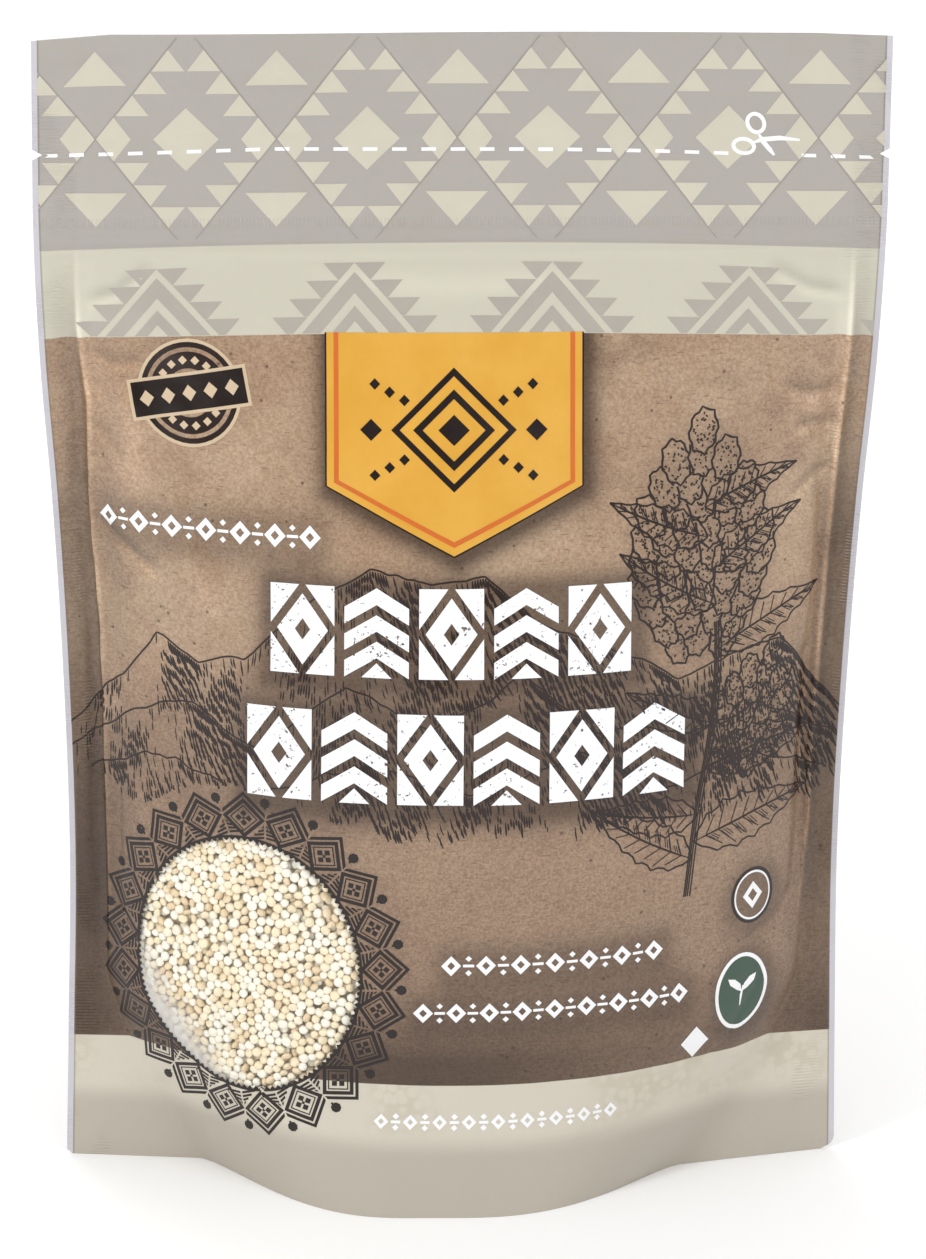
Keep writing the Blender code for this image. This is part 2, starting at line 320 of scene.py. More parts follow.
def rolling(u, v, seed, amount, shortest, longest):
    """Quiet seeded waves, with lengths between the shortest and the longest, in mm."""
    chance = np.random.default_rng(seed)
    total = np.zeros(u.shape)
    for _ in range(WAVES_SUMMED):
        length = chance.uniform(shortest, longest) * MM
        angle = chance.uniform(0.0, 2 * math.pi)
        phase = chance.uniform(0.0, 2 * math.pi)
        way = u * math.cos(angle) + v * math.sin(angle)
        total = total + np.sin(2 * math.pi * way / length + phase)
    return amount * MM * total / math.sqrt(WAVES_SUMMED)


# %% Creases of this pouch, as flat places in mm
LEFT_SEAL_LINE = ((-80.2, 44), (-80.3, 84), (-79.6, 120), (-80.8, 150), (-79.2, 174), (-80.6, 190),
                  (-80.4, 207))
RIGHT_SEAL_LINE = ((80.0, 44), (82.4, 78), (82.6, 119), (82.8, 150), (82.6, 166), (83.0, 186), (82.6, 207))
FOLD_GAIN = 1.5
SEAL_VALLEY = 1.2
SEAL_VALLEY_SHIFT = 0.0028
FOLDS = (
    (((-70.5, 181), (-69.0, 168), (-70.5, 152)), 0.75, 4.2),
    (((-59.5, 147), (-55.5, 138), (-52.0, 129)), 0.55, 2.6),
    (((-63.0, 156), (-58.0, 151)), 0.35, 2.2),
    (((-79.0, 122), (-76.5, 104), (-78.5, 84)), 0.40, 1.8),
    (((66.0, 181), (72.0, 174), (80.0, 171)), 0.60, 2.4),
    (((69.0, 172), (75.0, 165), (81.0, 163)), 0.55, 2.2),
    (((72.0, 186), (77.0, 181), (81.5, 180)), 0.45, 1.8),
    (((76.0, 158), (78.0, 140), (79.0, 118)), 0.40, 2.6),
    (((60.0, 150), (70.0, 141), (79.0, 137)), 0.22, 3.6),
    (((30.0, 201), (0.0, 199.5), (-34.0, 201)), 0.35, 3.0),
    (((-60.0, 30), (-48.0, 22), (-30.0, 17)), 0.30, 3.2),
    (((52.0, 44), (60.0, 33), (68.0, 27)), 0.45, 3.0),
)
CREASES = (
    (((-80.5, 149), (-72.0, 143), (-64.0, 137.5)), -0.60, 1.3),
    (((-80.0, 170), (-75.0, 166.5), (-72.0, 160)), -0.35, 1.0),
    (((-79.5, 186), (-73.5, 183), (-66.0, 184)), -0.40, 1.1),
    (((-80.0, 100), (-74.0, 95), (-68.0, 93)), -0.22, 1.1),
    (((82.5, 176), (75.0, 176), (67.0, 178.5)), -0.45, 1.0),
    (((82.5, 168), (76.0, 169.5), (70.0, 168)), -0.40, 0.9),
    (((82.5, 159), (77.5, 158), (72.0, 153)), -0.40, 1.1),
    (((82.5, 120), (77.0, 116), (70.0, 115)), -0.25, 1.2),
    (((81.0, 66), (73.0, 58), (62.0, 54)), -0.25, 1.4),
    (((-79.5, 62), (-75.0, 57), (-71.0, 50)), -0.25, 1.0),
    (((-64.0, 204), (-72.0, 198), (-79.0, 196)), -0.30, 1.2),
    (((64.0, 204), (73.0, 199), (82.0, 197)), -0.30, 1.2),
)
SEAL_MIDDLE = 5.6
SEAL_LOWEST = 13.6
SEAL_CURVE = 1.95e-6


def seal_height(u):
    """Height of the bottom seal's upper edge, in mm, over flat place u in mm."""
    return SEAL_LOWEST + SEAL_CURVE * (u - SEAL_MIDDLE) ** 4


ZIP_RIDGES = (206.8, 211.2)
ZIP_HEIGHT = 0.45
ZIP_WIDTH = 0.75
FRONT_WAVES = ((3, 0.26, 22, 60), (4, 0.07, 7, 15))
BACK_WAVES = ((5, 0.22, 22, 60),)


def seal_valley(u, v):
    """How far both films of the side seals dip backwards beside the belly, in metres."""
    dip = fold(u + SEAL_VALLEY_SHIFT, v, LEFT_SEAL_LINE, SEAL_VALLEY, 1.9)
    return dip + fold(u - SEAL_VALLEY_SHIFT, v, RIGHT_SEAL_LINE, SEAL_VALLEY, 1.9)


def zip_and_waves(u, v, waves):
    """The two ridges of the zip, and seeded waves that end at the seals, in metres."""
    calm = unit((0.081 - np.abs(u)) / 0.012) * unit((0.204 - v) / 0.02) * unit(v / 0.02)
    relief = sum(rolling(u, v, *wave) for wave in waves) * calm
    for ridge in ZIP_RIDGES:
        relief += ZIP_HEIGHT * MM * np.exp(-((v / MM - ridge) / ZIP_WIDTH) ** 2)
    return relief


def front_relief(u, v):
    """How far the front film stands off its smooth form, in metres."""
    relief = crease(u, v, LEFT_SEAL_LINE, 1.0, 0.9) + crease(u, v, RIGHT_SEAL_LINE, 1.0, 0.9)
    relief += fold(u - SEAL_VALLEY_SHIFT, v, LEFT_SEAL_LINE, -0.55, 1.7)
    relief += fold(u + SEAL_VALLEY_SHIFT, v, RIGHT_SEAL_LINE, -0.55, 1.7) - seal_valley(u, v)
    for points, height, width in FOLDS:
        relief += fold(u, v, points, FOLD_GAIN * height, width)
    for points, height, width in CREASES:
        relief += crease(u, v, points, FOLD_GAIN * height, width)
    past_seal = (v / MM - seal_height(u / MM)) / 1.2
    relief += -0.20 * MM * np.exp(-past_seal**2) * unit((0.078 - np.abs(u)) / 0.01)
    return relief + zip_and_waves(u, v, FRONT_WAVES)


def back_relief(u, v):
    """The same for the back, where only soft folds and the zip show."""
    relief = crease(u, v, LEFT_SEAL_LINE, 0.50, 0.9) + crease(u, v, RIGHT_SEAL_LINE, 0.50, 0.9)
    relief += seal_valley(u, v)
    for points, height, width in FOLDS[::2]:
        relief += fold(-u, v, points, height, width)
    return relief + zip_and_waves(u, v, BACK_WAVES)


def header_wave(x, v):
    """Both films of the header waving together, in metres."""
    above = unit((v - 0.203) / 0.03)
    slow = 0.0007 * np.sin(2 * math.pi * (x / 0.150 + 0.15)) * above
    cross = 0.0002 * np.sin(2 * math.pi * (v / 0.021 + 0.8 * np.sin(x / 0.05)))
    ripple = np.sin(2 * math.pi * (v / 0.0078 + 0.30 * np.sin(x / 0.019) + 0.25 * np.sin(x / 0.043 + 1.0)))
    ripple = 0.00009 * ripple * (0.55 + 0.45 * np.sin(x / 0.031 + v / 0.011))
    return slow + (cross + ripple) * above * unit((HEIGHT - v) / 0.006)


print("creases and folds:", len(CREASES) + len(FOLDS) + 2)


# %% Places of the front and the back film
def net_normals(points):
    """Outward directions at every place of a net of points."""
    along = np.gradient(points, axis=1)
    upward = np.gradient(points, axis=0)
    outward = np.cross(along, upward)
    return outward / np.linalg.norm(outward, axis=2, keepdims=True)


def film_net(face):
    """Places of one face of the film: -1 for the front, 1 for the back."""
    places = np.zeros(flat_u.shape + (3,))
    for row, v in enumerate(row_v):
        x_places, x_flat = section_of(v)
        x = np.interp(flat_u[row], x_flat, x_places)
        y = middle_bend(x, v) + face * half_depth(x, v) + header_wave(x, v)
        places[row] = np.stack((x, y, v - top_drop(flat_u[row], v)), axis=1)
    outward = net_normals(places) * -face
    relief = front_relief(flat_u, flat_v) if face < 0 else back_relief(flat_u, flat_v)
    calm_edge = unit((WIDTH / 2 - np.abs(flat_u)) / 0.002)
    calm_ends = unit(flat_v / 0.003) * unit((HEIGHT - flat_v) / 0.003)
    places += outward * (relief * calm_edge * calm_ends)[..., None]
    return np.clip(places, np.array(cad_low), np.array(cad_high))


front_net = film_net(-1)
front_normal = net_normals(front_net)
back_net = film_net(1)
print("front film reaches y in mm:", round(1000 * front_net[..., 1].min(), 2),
      "and the back", round(1000 * back_net[..., 1].max(), 2))


# %% Reading the film at any flat place
def on_front(u, v, lift=0.0):
    """Places on the front film over flat places u and v, raised by lift, and their normals."""
    u = np.atleast_1d(np.asarray(u, float))
    v = np.atleast_1d(np.asarray(v, float))
    i = np.clip(np.searchsorted(column_u, u, side="right") - 1, 0, len(column_u) - 2)
    j = np.clip(np.searchsorted(row_v, v, side="right") - 1, 0, len(row_v) - 2)
    s = ((u - column_u[i]) / (column_u[i + 1] - column_u[i]))[:, None]
    t = ((v - row_v[j]) / (row_v[j + 1] - row_v[j]))[:, None]

    def blend(net):
        low = net[j, i] * (1 - s) + net[j, i + 1] * s
        high = net[j + 1, i] * (1 - s) + net[j + 1, i + 1] * s
        return low * (1 - t) + high * t

    normal = blend(front_normal)
    normal = normal / np.linalg.norm(normal, axis=1, keepdims=True)
    lifts = np.broadcast_to(np.asarray(lift, float), u.shape)[:, None]
    return blend(front_net) + normal * lifts, normal


middle_place, middle_normal = on_front(0.0, 0.100)
print("front at 100 mm up:", np.round(middle_place[0] * 1000, 1), "faces", np.round(middle_normal[0], 2))

# %% [markdown]
# ## Inks, films and their texture
# Every printed surface shares three effects, so each is a node group with named inputs:
# paper fibres and specks for the kraft print, the fine relief of a laminate film, and the
# small faults of printed ink. They read the flat map, in millimetres, so a speck that
# starts on the film goes on under the ink beside it. Groups give only colours and values,
# and the shader itself stays in each material.

# %% Helpers for colours and nodes
FLAT_MAP = "flat"
MAP_SIZE_MM = HEIGHT / MM
MIDDLE_MM = WIDTH / MM / 2


def ink(red, green, blue):
    """A colour named on the 0 to 255 scale, as linear light."""
    shares = [value / 255 for value in (red, green, blue)]
    return tuple(s / 12.92 if s <= 0.04045 else ((s + 0.055) / 1.055) ** 2.4 for s in shares) + (1.0,)


def add_node(tree, kind, values=None, **settings):
    """One node, with its settings and with its sockets set or linked."""
    node = tree.nodes.new(kind)
    for name, value in settings.items():
        setattr(node, name, value)
    for name, value in (values or {}).items():
        if isinstance(value, bpy.types.NodeSocket):
            tree.links.new(value, node.inputs[name])
        else:
            node.inputs[name].default_value = value
    return node


def number(tree, operation, first, second=0.0, clamp=False):
    """The value of one Math node."""
    values = {0: first, 1: second}
    return add_node(tree, "ShaderNodeMath", values, operation=operation, use_clamp=clamp).outputs[0]


def times(tree, first, second, clamp=False):
    """The product of two values."""
    return number(tree, "MULTIPLY", first, second, clamp=clamp)


def plus(tree, first, second):
    """The sum of two values."""
    return number(tree, "ADD", first, second)


def minus(tree, first, second):
    """The difference of two values."""
    return number(tree, "SUBTRACT", first, second)


def blend_colour(tree, factor, first, second, kind="MIX"):
    """The colour of one Mix node."""
    values = {0: factor, 6: first, 7: second}
    return add_node(tree, "ShaderNodeMix", values, data_type="RGBA", blend_type=kind).outputs[2]


def ramp(tree, value, low, high):
    """0 below low and 1 above high."""
    values = {"Value": value, "From Min": low, "From Max": high}
    return add_node(tree, "ShaderNodeMapRange", values, interpolation_type="SMOOTHSTEP").outputs[0]


def noise(tree, place, scale, detail=2.0, roughness=0.5, seed=0.0):
    """A noise value over a place in mm."""
    values = {"Vector": place, "Scale": scale, "Detail": detail, "Roughness": roughness, "W": seed}
    return add_node(tree, "ShaderNodeTexNoise", values, noise_dimensions="4D").outputs[0]


def stretched(tree, place, scale, turn=0.0):
    """A place stretched and turned by a Mapping node."""
    values = {"Vector": place, "Scale": scale, "Rotation": (0.0, 0.0, turn)}
    return add_node(tree, "ShaderNodeMapping", values).outputs[0]


def new_group(name, inputs, outputs):
    """An empty shader group with named inputs and outputs, and its two end nodes."""
    tree = bpy.data.node_groups.new(name, "ShaderNodeTree")
    for label, kind, value in inputs:
        socket = tree.interface.new_socket(label, in_out="INPUT", socket_type=kind)
        if value is not None:
            socket.default_value = value
    for label, kind in outputs:
        tree.interface.new_socket(label, in_out="OUTPUT", socket_type=kind)
    return tree, tree.nodes.new("NodeGroupInput"), tree.nodes.new("NodeGroupOutput")


def use_group(tree, group, values):
    """The result of a group placed in a material."""
    return add_node(tree, "ShaderNodeGroup", values, node_tree=group).outputs[0]


def stored_value(tree, name):
    """A value stored on the piece's points."""
    return add_node(tree, "ShaderNodeAttribute", attribute_name=name).outputs["Fac"]


def flat_place(tree):
    """The flat place in mm: x across from the left edge, y up from the bottom."""
    read = add_node(tree, "ShaderNodeUVMap", uv_map=FLAT_MAP)
    values = {0: read.outputs[0], "Scale": MAP_SIZE_MM}
    return add_node(tree, "ShaderNodeVectorMath", values, operation="SCALE").outputs[0]


def across_and_up(tree, place):
    """The two parts of a flat place."""
    split = add_node(tree, "ShaderNodeSeparateXYZ", {0: place})
    return split.outputs["X"], split.outputs["Y"]


def from_middle(tree, across):
    """How far a flat place lies from the pouch's middle, in mm."""
    return number(tree, "ABSOLUTE", minus(tree, across, MIDDLE_MM))


def add_relief(tree, shader, height, strength, distance):
    """A Bump node from a height to the shader's normal."""
    values = {"Height": height, "Strength": strength, "Distance": distance}
    bump = add_node(tree, "ShaderNodeBump", values)
    tree.links.new(bump.outputs[0], shader.inputs["Normal"])


def new_material(name):
    """A material with only a Principled shader and its output, and the shader."""
    made = bpy.data.materials.new(name)
    made.use_nodes = True
    return made, made.node_tree, made.node_tree.nodes["Principled BSDF"]


print("one flat map unit is", round(MAP_SIZE_MM), "mm")

# %% [markdown]
# ### Kraft paper print
# The brown is a printed picture of kraft paper: blotches a few centimetres wide, short
# fibres lying every way, fine grain, and a few dark specks. Noise stretched along one
# direction makes fibres, and three layers of it, each turned its own way, keep them from
# lining up.

# %% Kraft paper group
KRAFT_LIGHT = ink(181, 156, 130)
KRAFT_MIDDLE = ink(166, 138, 113)
KRAFT_DARK = ink(138, 112, 92)
KRAFT_SPECK = ink(84, 62, 50)
# Dark brown for the printed shadows and the painted shade on the kraft.
KRAFT_SHADE = ink(40, 23, 13)


def kraft_group():
    """Colour of the kraft print over the flat place, with painted shade low on the belly."""
    tree, given, result = new_group("kraft_paper", [("Place", "NodeSocketVector", None)],
                                    [("Color", "NodeSocketColor")])
    place = given.outputs["Place"]
    _, up = across_and_up(tree, place)
    blotch = ramp(tree, noise(tree, place, 0.035, 4.0, 0.6, 1.0), 0.34, 0.70)
    colour = blend_colour(tree, blotch, KRAFT_MIDDLE, KRAFT_LIGHT)
    shade = ramp(tree, noise(tree, place, 0.055, 5.0, 0.62, 6.0), 0.50, 0.78)
    colour = blend_colour(tree, times(tree, shade, 0.75), colour, KRAFT_DARK)
    # Darker towards the bottom: painted shade of the lower belly.
    low = ramp(tree, up, 150.0, 60.0)
    colour = blend_colour(tree, times(tree, low, 0.62), colour, KRAFT_DARK)
    for turn, seed in ((0.35, 2.0), (1.9, 3.0), (2.8, 4.0)):
        strands = noise(tree, stretched(tree, place, (0.35, 2.4, 1.0), turn), 1.0, 2.0, 0.5, seed)
        dark = times(tree, ramp(tree, strands, 0.60, 0.72), 0.42)
        colour = blend_colour(tree, dark, colour, KRAFT_SPECK)
        pale = times(tree, ramp(tree, strands, 0.40, 0.26), 0.34)
        colour = blend_colour(tree, pale, colour, KRAFT_LIGHT)
    grain = ramp(tree, noise(tree, place, 1.9, 2.0, 0.6, 5.0), 0.30, 0.70)
    grain = blend_colour(tree, grain, ink(108, 108, 108), ink(212, 212, 212))
    colour = blend_colour(tree, 0.55, colour, grain, "SOFT_LIGHT")
    cells = add_node(tree, "ShaderNodeTexVoronoi", {"Vector": place, "Scale": 0.21, "Randomness": 1.0})
    speck = ramp(tree, cells.outputs["Distance"], 0.095, 0.055)
    colour = blend_colour(tree, times(tree, speck, 0.75), colour, KRAFT_SPECK)
    tree.links.new(colour, result.inputs["Color"])
    return tree


kraft_paper = kraft_group()
print("kraft paper nodes:", len(kraft_paper.nodes))

# %% [markdown]
# ### Relief and wear of the film
# The laminate shows the grain behind it as soft dimples on the belly, tiny crinkles, and
# ribs pressed into the side seals by the sealing bar. All of that is finer than the net of
# the film, so it is a height for a Bump node. The ink group gives a mask of where the
# print has small gaps.

# %% Film relief and ink wear groups
SEAL_INNER_MM = 9.0
RIB_PITCH_MM = 0.72
TICK_PITCH_MM = 0.80


def relief_group():
    """Height of the fine relief of the film, in mm."""
    tree, given, result = new_group("film_relief", [("Place", "NodeSocketVector", None)],
                                    [("Height", "NodeSocketFloat")])
    place = given.outputs["Place"]
    across, up = across_and_up(tree, place)
    seal_from = MIDDLE_MM - SEAL_INNER_MM
    on_seal = ramp(tree, from_middle(tree, across), seal_from - 0.8, seal_from + 0.8)
    on_belly = times(tree, minus(tree, 1.0, on_seal), ramp(tree, up, 204.0, 190.0))
    cells = add_node(tree, "ShaderNodeTexVoronoi", {"Vector": place, "Scale": 0.42}, feature="SMOOTH_F1")
    dimple = times(tree, cells.outputs["Distance"], -0.09)
    pressed = ramp(tree, noise(tree, place, 0.05, 2.0, 0.5, 8.0), 0.38, 0.66)
    dimple = times(tree, times(tree, dimple, pressed), on_belly)
    crinkle = times(tree, noise(tree, place, 0.45, 4.0, 0.55, 9.0), 0.10)
    patch = noise(tree, stretched(tree, place, (0.10, 0.045, 1.0)), 1.0, 2.0, 0.5, 10.0)
    patch = ramp(tree, patch, 0.46, 0.60)
    rib = number(tree, "SINE", times(tree, up, 2 * math.pi / RIB_PITCH_MM))
    rib = times(tree, times(tree, rib, 0.060), times(tree, patch, on_seal))
    near_zip = times(tree, ramp(tree, up, 212.0, 212.4), ramp(tree, up, 214.2, 213.8))
    tick = number(tree, "SINE", times(tree, across, 2 * math.pi / TICK_PITCH_MM))
    tick = times(tree, times(tree, tick, 0.050), near_zip)
    total = plus(tree, plus(tree, dimple, crinkle), plus(tree, rib, tick))
    tree.links.new(total, result.inputs["Height"])
    return tree


def wear_group():
    """Mask of the gaps in printed ink: 1 where the ink is missing."""
    inputs = [("Place", "NodeSocketVector", None), ("Wear", "NodeSocketFloat", 0.0)]
    tree, given, result = new_group("ink_wear", inputs, [("Gaps", "NodeSocketFloat")])
    place = given.outputs["Place"]
    coarse = noise(tree, place, 0.85, 4.0, 0.70, 21.0)
    patch = noise(tree, place, 0.09, 2.0, 0.5, 22.0)
    both = plus(tree, times(tree, coarse, 0.72), times(tree, patch, 0.28))
    edge = minus(tree, 0.70, times(tree, given.outputs["Wear"], 0.12))
    over = minus(tree, both, edge)
    gaps = ramp(tree, over, 0.0, 0.025)
    tree.links.new(gaps, result.inputs["Gaps"])
    return tree


film_relief = relief_group()
ink_wear = wear_group()
print("relief nodes:", len(film_relief.nodes), "wear nodes:", len(ink_wear.nodes))

# %% [markdown]
# ### The printed film
# The film's own print is four fields one above the other: a grey header, a cream band, the
# kraft, and a cream skirt. The borders bow a little, as they do on the real pouch. An
# unprinted strip of clear laminate runs along both side edges. A semi-matte lacquer over
# all of it gives broad soft highlights.

# %% Film material
HEADER_GREY = ink(166, 160, 152)
BAND_CREAM = ink(198, 194, 177)
SKIRT_CREAM = ink(204, 197, 182)
SKIRT_LOW = ink(180, 172, 159)
EDGE_CLEAR = ink(196, 194, 200)
HEADER_FROM = 208.6
BAND_FROM = 190.7
BAND_BOW = 3.0
BOW_REACH = 85.0
SKIRT_TO = 28.3
BORDER_BLUR = 0.1
EDGE_STRIP_MM = 1.2
PRINT_LIMIT = MIDDLE_MM - EDGE_STRIP_MM
FILM_ROUGHNESS = 0.32
FILM_BUMP = 0.9


def film_finish(tree, shader, place):
    """The lacquer and the fine relief that all printed surfaces share."""
    add_relief(tree, shader, use_group(tree, film_relief, {"Place": place}), FILM_BUMP, MM)
    blotch = noise(tree, place, 0.12, 3.0, 0.5, 30.0)
    rough = plus(tree, times(tree, blotch, 0.12), FILM_ROUGHNESS - 0.06)
    tree.links.new(rough, shader.inputs["Roughness"])


def bowed_height(tree, across, up):
    """Height of a print border, straightened, so that the border bows on the pouch."""
    share = number(tree, "DIVIDE", minus(tree, across, MIDDLE_MM), BOW_REACH)
    bow = times(tree, times(tree, share, share), BAND_BOW)
    flatter = times(tree, ramp(tree, up, 190.0, 207.0), 0.5)
    upper = times(tree, ramp(tree, up, 150.0, 180.0), minus(tree, 1.0, flatter))
    return plus(tree, up, times(tree, bow, upper))


def film_colour(tree, place):
    """Colour of the film's own print, with its printed shadows, painted shade, and painted highlights and
    shade on the creases.
    """
    across, up = across_and_up(tree, place)
    up = bowed_height(tree, across, up)
    kraft = use_group(tree, kraft_paper, {"Place": place})
    # Printed shadows, and painted shade towards the seals and the low border, from the shade attribute.
    kraft = blend_colour(tree, stored_value(tree, "shade"), kraft, KRAFT_SHADE)
    tone = noise(tree, place, 0.06, 3.0, 0.5, 12.0)
    skirt = blend_colour(tree, ramp(tree, up, 18.0, 12.0), SKIRT_CREAM, SKIRT_LOW)
    mottle = add_node(tree, "ShaderNodeTexVoronoi", {"Vector": place, "Scale": 0.44})
    over_grain = times(tree, ramp(tree, up, 14.0, 22.0), ramp(tree, tone, 0.40, 0.62))
    spots = times(tree, ramp(tree, mottle.outputs["Distance"], 0.30, 0.62), over_grain)
    skirt = blend_colour(tree, times(tree, spots, 0.35), skirt, ink(178, 166, 140))
    band = blend_colour(tree, times(tree, tone, 0.25), BAND_CREAM, ink(194, 188, 177))
    header = blend_colour(tree, times(tree, tone, 0.55), HEADER_GREY, ink(172, 168, 164))
    colour = skirt
    for border, field in ((SKIRT_TO, kraft), (BAND_FROM, band), (HEADER_FROM, header)):
        above = ramp(tree, up, border - BORDER_BLUR, border + BORDER_BLUR)
        colour = blend_colour(tree, above, colour, field)
    aside = from_middle(tree, across)
    strip = ramp(tree, aside, PRINT_LIMIT - 0.08, PRINT_LIMIT + 0.08)
    line = minus(tree, ramp(tree, aside, PRINT_LIMIT - 0.5, PRINT_LIMIT - 0.2), strip)
    colour = blend_colour(tree, times(tree, line, 0.5, clamp=True), colour, ink(110, 98, 92))
    colour = blend_colour(tree, strip, colour, EDGE_CLEAR)
    # The crease attribute scales the colour: painted highlights on creases and folds, painted shade beside
    # them.
    values = {0: colour, "Scale": plus(tree, 1.0, stored_value(tree, "crease"))}
    return add_node(tree, "ShaderNodeVectorMath", values, operation="SCALE").outputs[0]


def film_material():
    """Printed laminate."""
    made, tree, shader = new_material("printed_film")
    place = flat_place(tree)
    tree.links.new(film_colour(tree, place), shader.inputs["Base Color"])
    film_finish(tree, shader, place)
    return made


def ink_material(name, colour, tone_shift, wear=0.0, other=None):
    """Ink printed on the film, with gaps that show the shaded print below."""
    made, tree, shader = new_material(name)
    place = flat_place(tree)
    tone = ramp(tree, noise(tree, place, 0.07, 3.0, 0.55, 14.0), 0.30, 0.70)
    shifted = tuple(c * (1.0 - tone_shift) for c in colour[:3]) + (1.0,)
    mixed = blend_colour(tree, tone, colour, other or shifted)
    if wear > 0.0:
        gaps = use_group(tree, ink_wear, {"Place": place, "Wear": wear})
        mixed = blend_colour(tree, gaps, mixed, KRAFT_SPECK)
    tree.links.new(mixed, shader.inputs["Base Color"])
    film_finish(tree, shader, place)
    return made


printed_film = film_material()
header_ink = ink_material("header_light_ink", ink(202, 196, 179), 0.05)
step_ink = ink_material("step_grey_ink", ink(172, 166, 156), 0.05)
white_ink = ink_material("white_ink", ink(245, 246, 249), 0.03, 1.0)
clean_white_ink = ink_material("clean_white_ink", ink(245, 245, 246), 0.04)
yellow_ink = ink_material("yellow_ink", ink(214, 159, 58), 0.06, 0.0, ink(222, 168, 70))
orange_ink = ink_material("orange_ink", ink(208, 108, 44), 0.05)
dark_ink = ink_material("dark_brown_ink", ink(28, 15, 11), 0.10)
line_ink = ink_material("engraving_ink", ink(38, 22, 16), 0.15)
seam_ink = ink_material("header_seam_ink", ink(158, 152, 144), 0.10)
stamp_ink = ink_material("stamp_pale_ink", ink(208, 186, 156), 0.05)
green_ink = ink_material("green_ink", ink(58, 82, 68), 0.10)
print("materials:", len(bpy.data.materials))

# %% [markdown]
# ## The window's place
# The window is an ellipse on the flat film with a fine zigzag edge, framed by a ring of
# diamonds. Its outline is needed twice: as the hole in the shell and for the ring around
# it, so it is worked out here, before the shell.

# %% Window outline
WINDOW_U = -46.2
WINDOW_V = 52.8
WINDOW_HALF_WIDTH = 25.2
WINDOW_HALF_HEIGHT = 28.9
ZIGZAG_TEETH = 126
ZIGZAG_HEIGHT = 0.75


def ellipse_places(half_width, half_height, count):
    """Places evenly spaced round the window's middle, each with its outward direction, in mm."""
    turn = math.pi / 2 + np.linspace(0.0, 2 * math.pi, 1441)
    u = WINDOW_U + half_width * np.cos(turn)
    v = WINDOW_V + half_height * np.sin(turn)
    length = np.concatenate(([0.0], np.cumsum(np.hypot(np.diff(u), np.diff(v)))))
    at = np.interp(np.arange(count) * length[-1] / count, length, turn)
    outward = np.stack((np.cos(at) / half_width, np.sin(at) / half_height), axis=1)
    outward /= np.linalg.norm(outward, axis=1, keepdims=True)
    spots = np.stack((WINDOW_U + half_width * np.cos(at), WINDOW_V + half_height * np.sin(at)), axis=1)
    return spots, outward, length[-1] / count


def window_outline():
    """The zigzag edge of the hole, in mm, counterclockwise."""
    spots, outward, _ = ellipse_places(WINDOW_HALF_WIDTH, WINDOW_HALF_HEIGHT, 2 * ZIGZAG_TEETH)
    wave = np.where(np.arange(2 * ZIGZAG_TEETH) % 2 == 0, -0.5, 0.5) * ZIGZAG_HEIGHT
    return spots + outward * wave[:, None]


window_edge = window_outline()
print("window edge:", len(window_edge), "points,",
      "from", np.round(window_edge.min(axis=0), 1), "to", np.round(window_edge.max(axis=0), 1), "mm")

# %% [markdown]
# ## The shell
# The shell is one mesh: the front net with the window cut out, the back net with half as
# many columns, the narrow side and top edges, and the base. The strip of film between the
# net and the zigzag hole is filled by a constrained triangulation, which keeps both edges
# exactly. The pouch stands on its rim, and behind the rim the gusset rises into a groove
# and comes back down to the floor in the middle.

# %% Mesh helpers
def new_piece(name, points, faces, surface, flat, normals=None, sharp_angle=None):
    """A mesh object from arrays, with its flat map and smooth shading."""
    mesh = bpy.data.meshes.new(name)
    mesh.from_pydata([tuple(p) for p in np.asarray(points, float)], [], [tuple(f) for f in faces])
    layer = mesh.uv_layers.new(name=FLAT_MAP)
    corner = np.zeros(len(mesh.loops), np.int32)
    mesh.loops.foreach_get("vertex_index", corner)
    shifted = (np.asarray(flat, float) + np.array([WIDTH / 2, 0.0])) / HEIGHT
    layer.data.foreach_set("uv", shifted[corner].astype(np.float32).ravel())
    mesh.shade_smooth()
    if sharp_angle is not None:
        mesh.set_sharp_from_angle(angle=math.radians(sharp_angle))
    mesh.materials.append(surface)
    mesh.update()
    if normals is not None:
        mesh.normals_split_custom_set_from_vertices([tuple(n) for n in normals])
    return in_scene(name, mesh)


def belts(first, around, rings, inward=False):
    """Faces between rings of points that follow each other in a mesh."""
    faces = []
    for ring in range(rings - 1):
        for k in range(around):
            a = first + ring * around + k
            b = first + ring * around + (k + 1) % around
            faces.append((a, a + around, b + around, b) if inward else (a, b, b + around, a + around))
    return faces


def triangle_count(thing):
    """How many triangles a piece has."""
    return sum(len(face.vertices) - 2 for face in thing.data.polygons)


# %% The front with its window
def inside_outline(u, v, outline):
    """Whether places lie inside a closed outline, by counting crossings."""
    inside = np.zeros(np.shape(u), bool)
    for (u1, v1), (u2, v2) in zip(outline, np.roll(outline, -1, axis=0)):
        crosses = (v1 > v) != (v2 > v)
        step = (u2 - u1) * (v - v1) / (v2 - v1 if v2 != v1 else 1e-12) + u1
        inside ^= crosses & (u < step)
    return inside


def near_window(u, v, margin):
    """Whether places in metres lie within the window's ellipse widened by a margin in mm."""
    a = (u / MM - WINDOW_U) / (WINDOW_HALF_WIDTH + margin)
    b = (v / MM - WINDOW_V) / (WINDOW_HALF_HEIGHT + margin)
    return a * a + b * b < 1.0


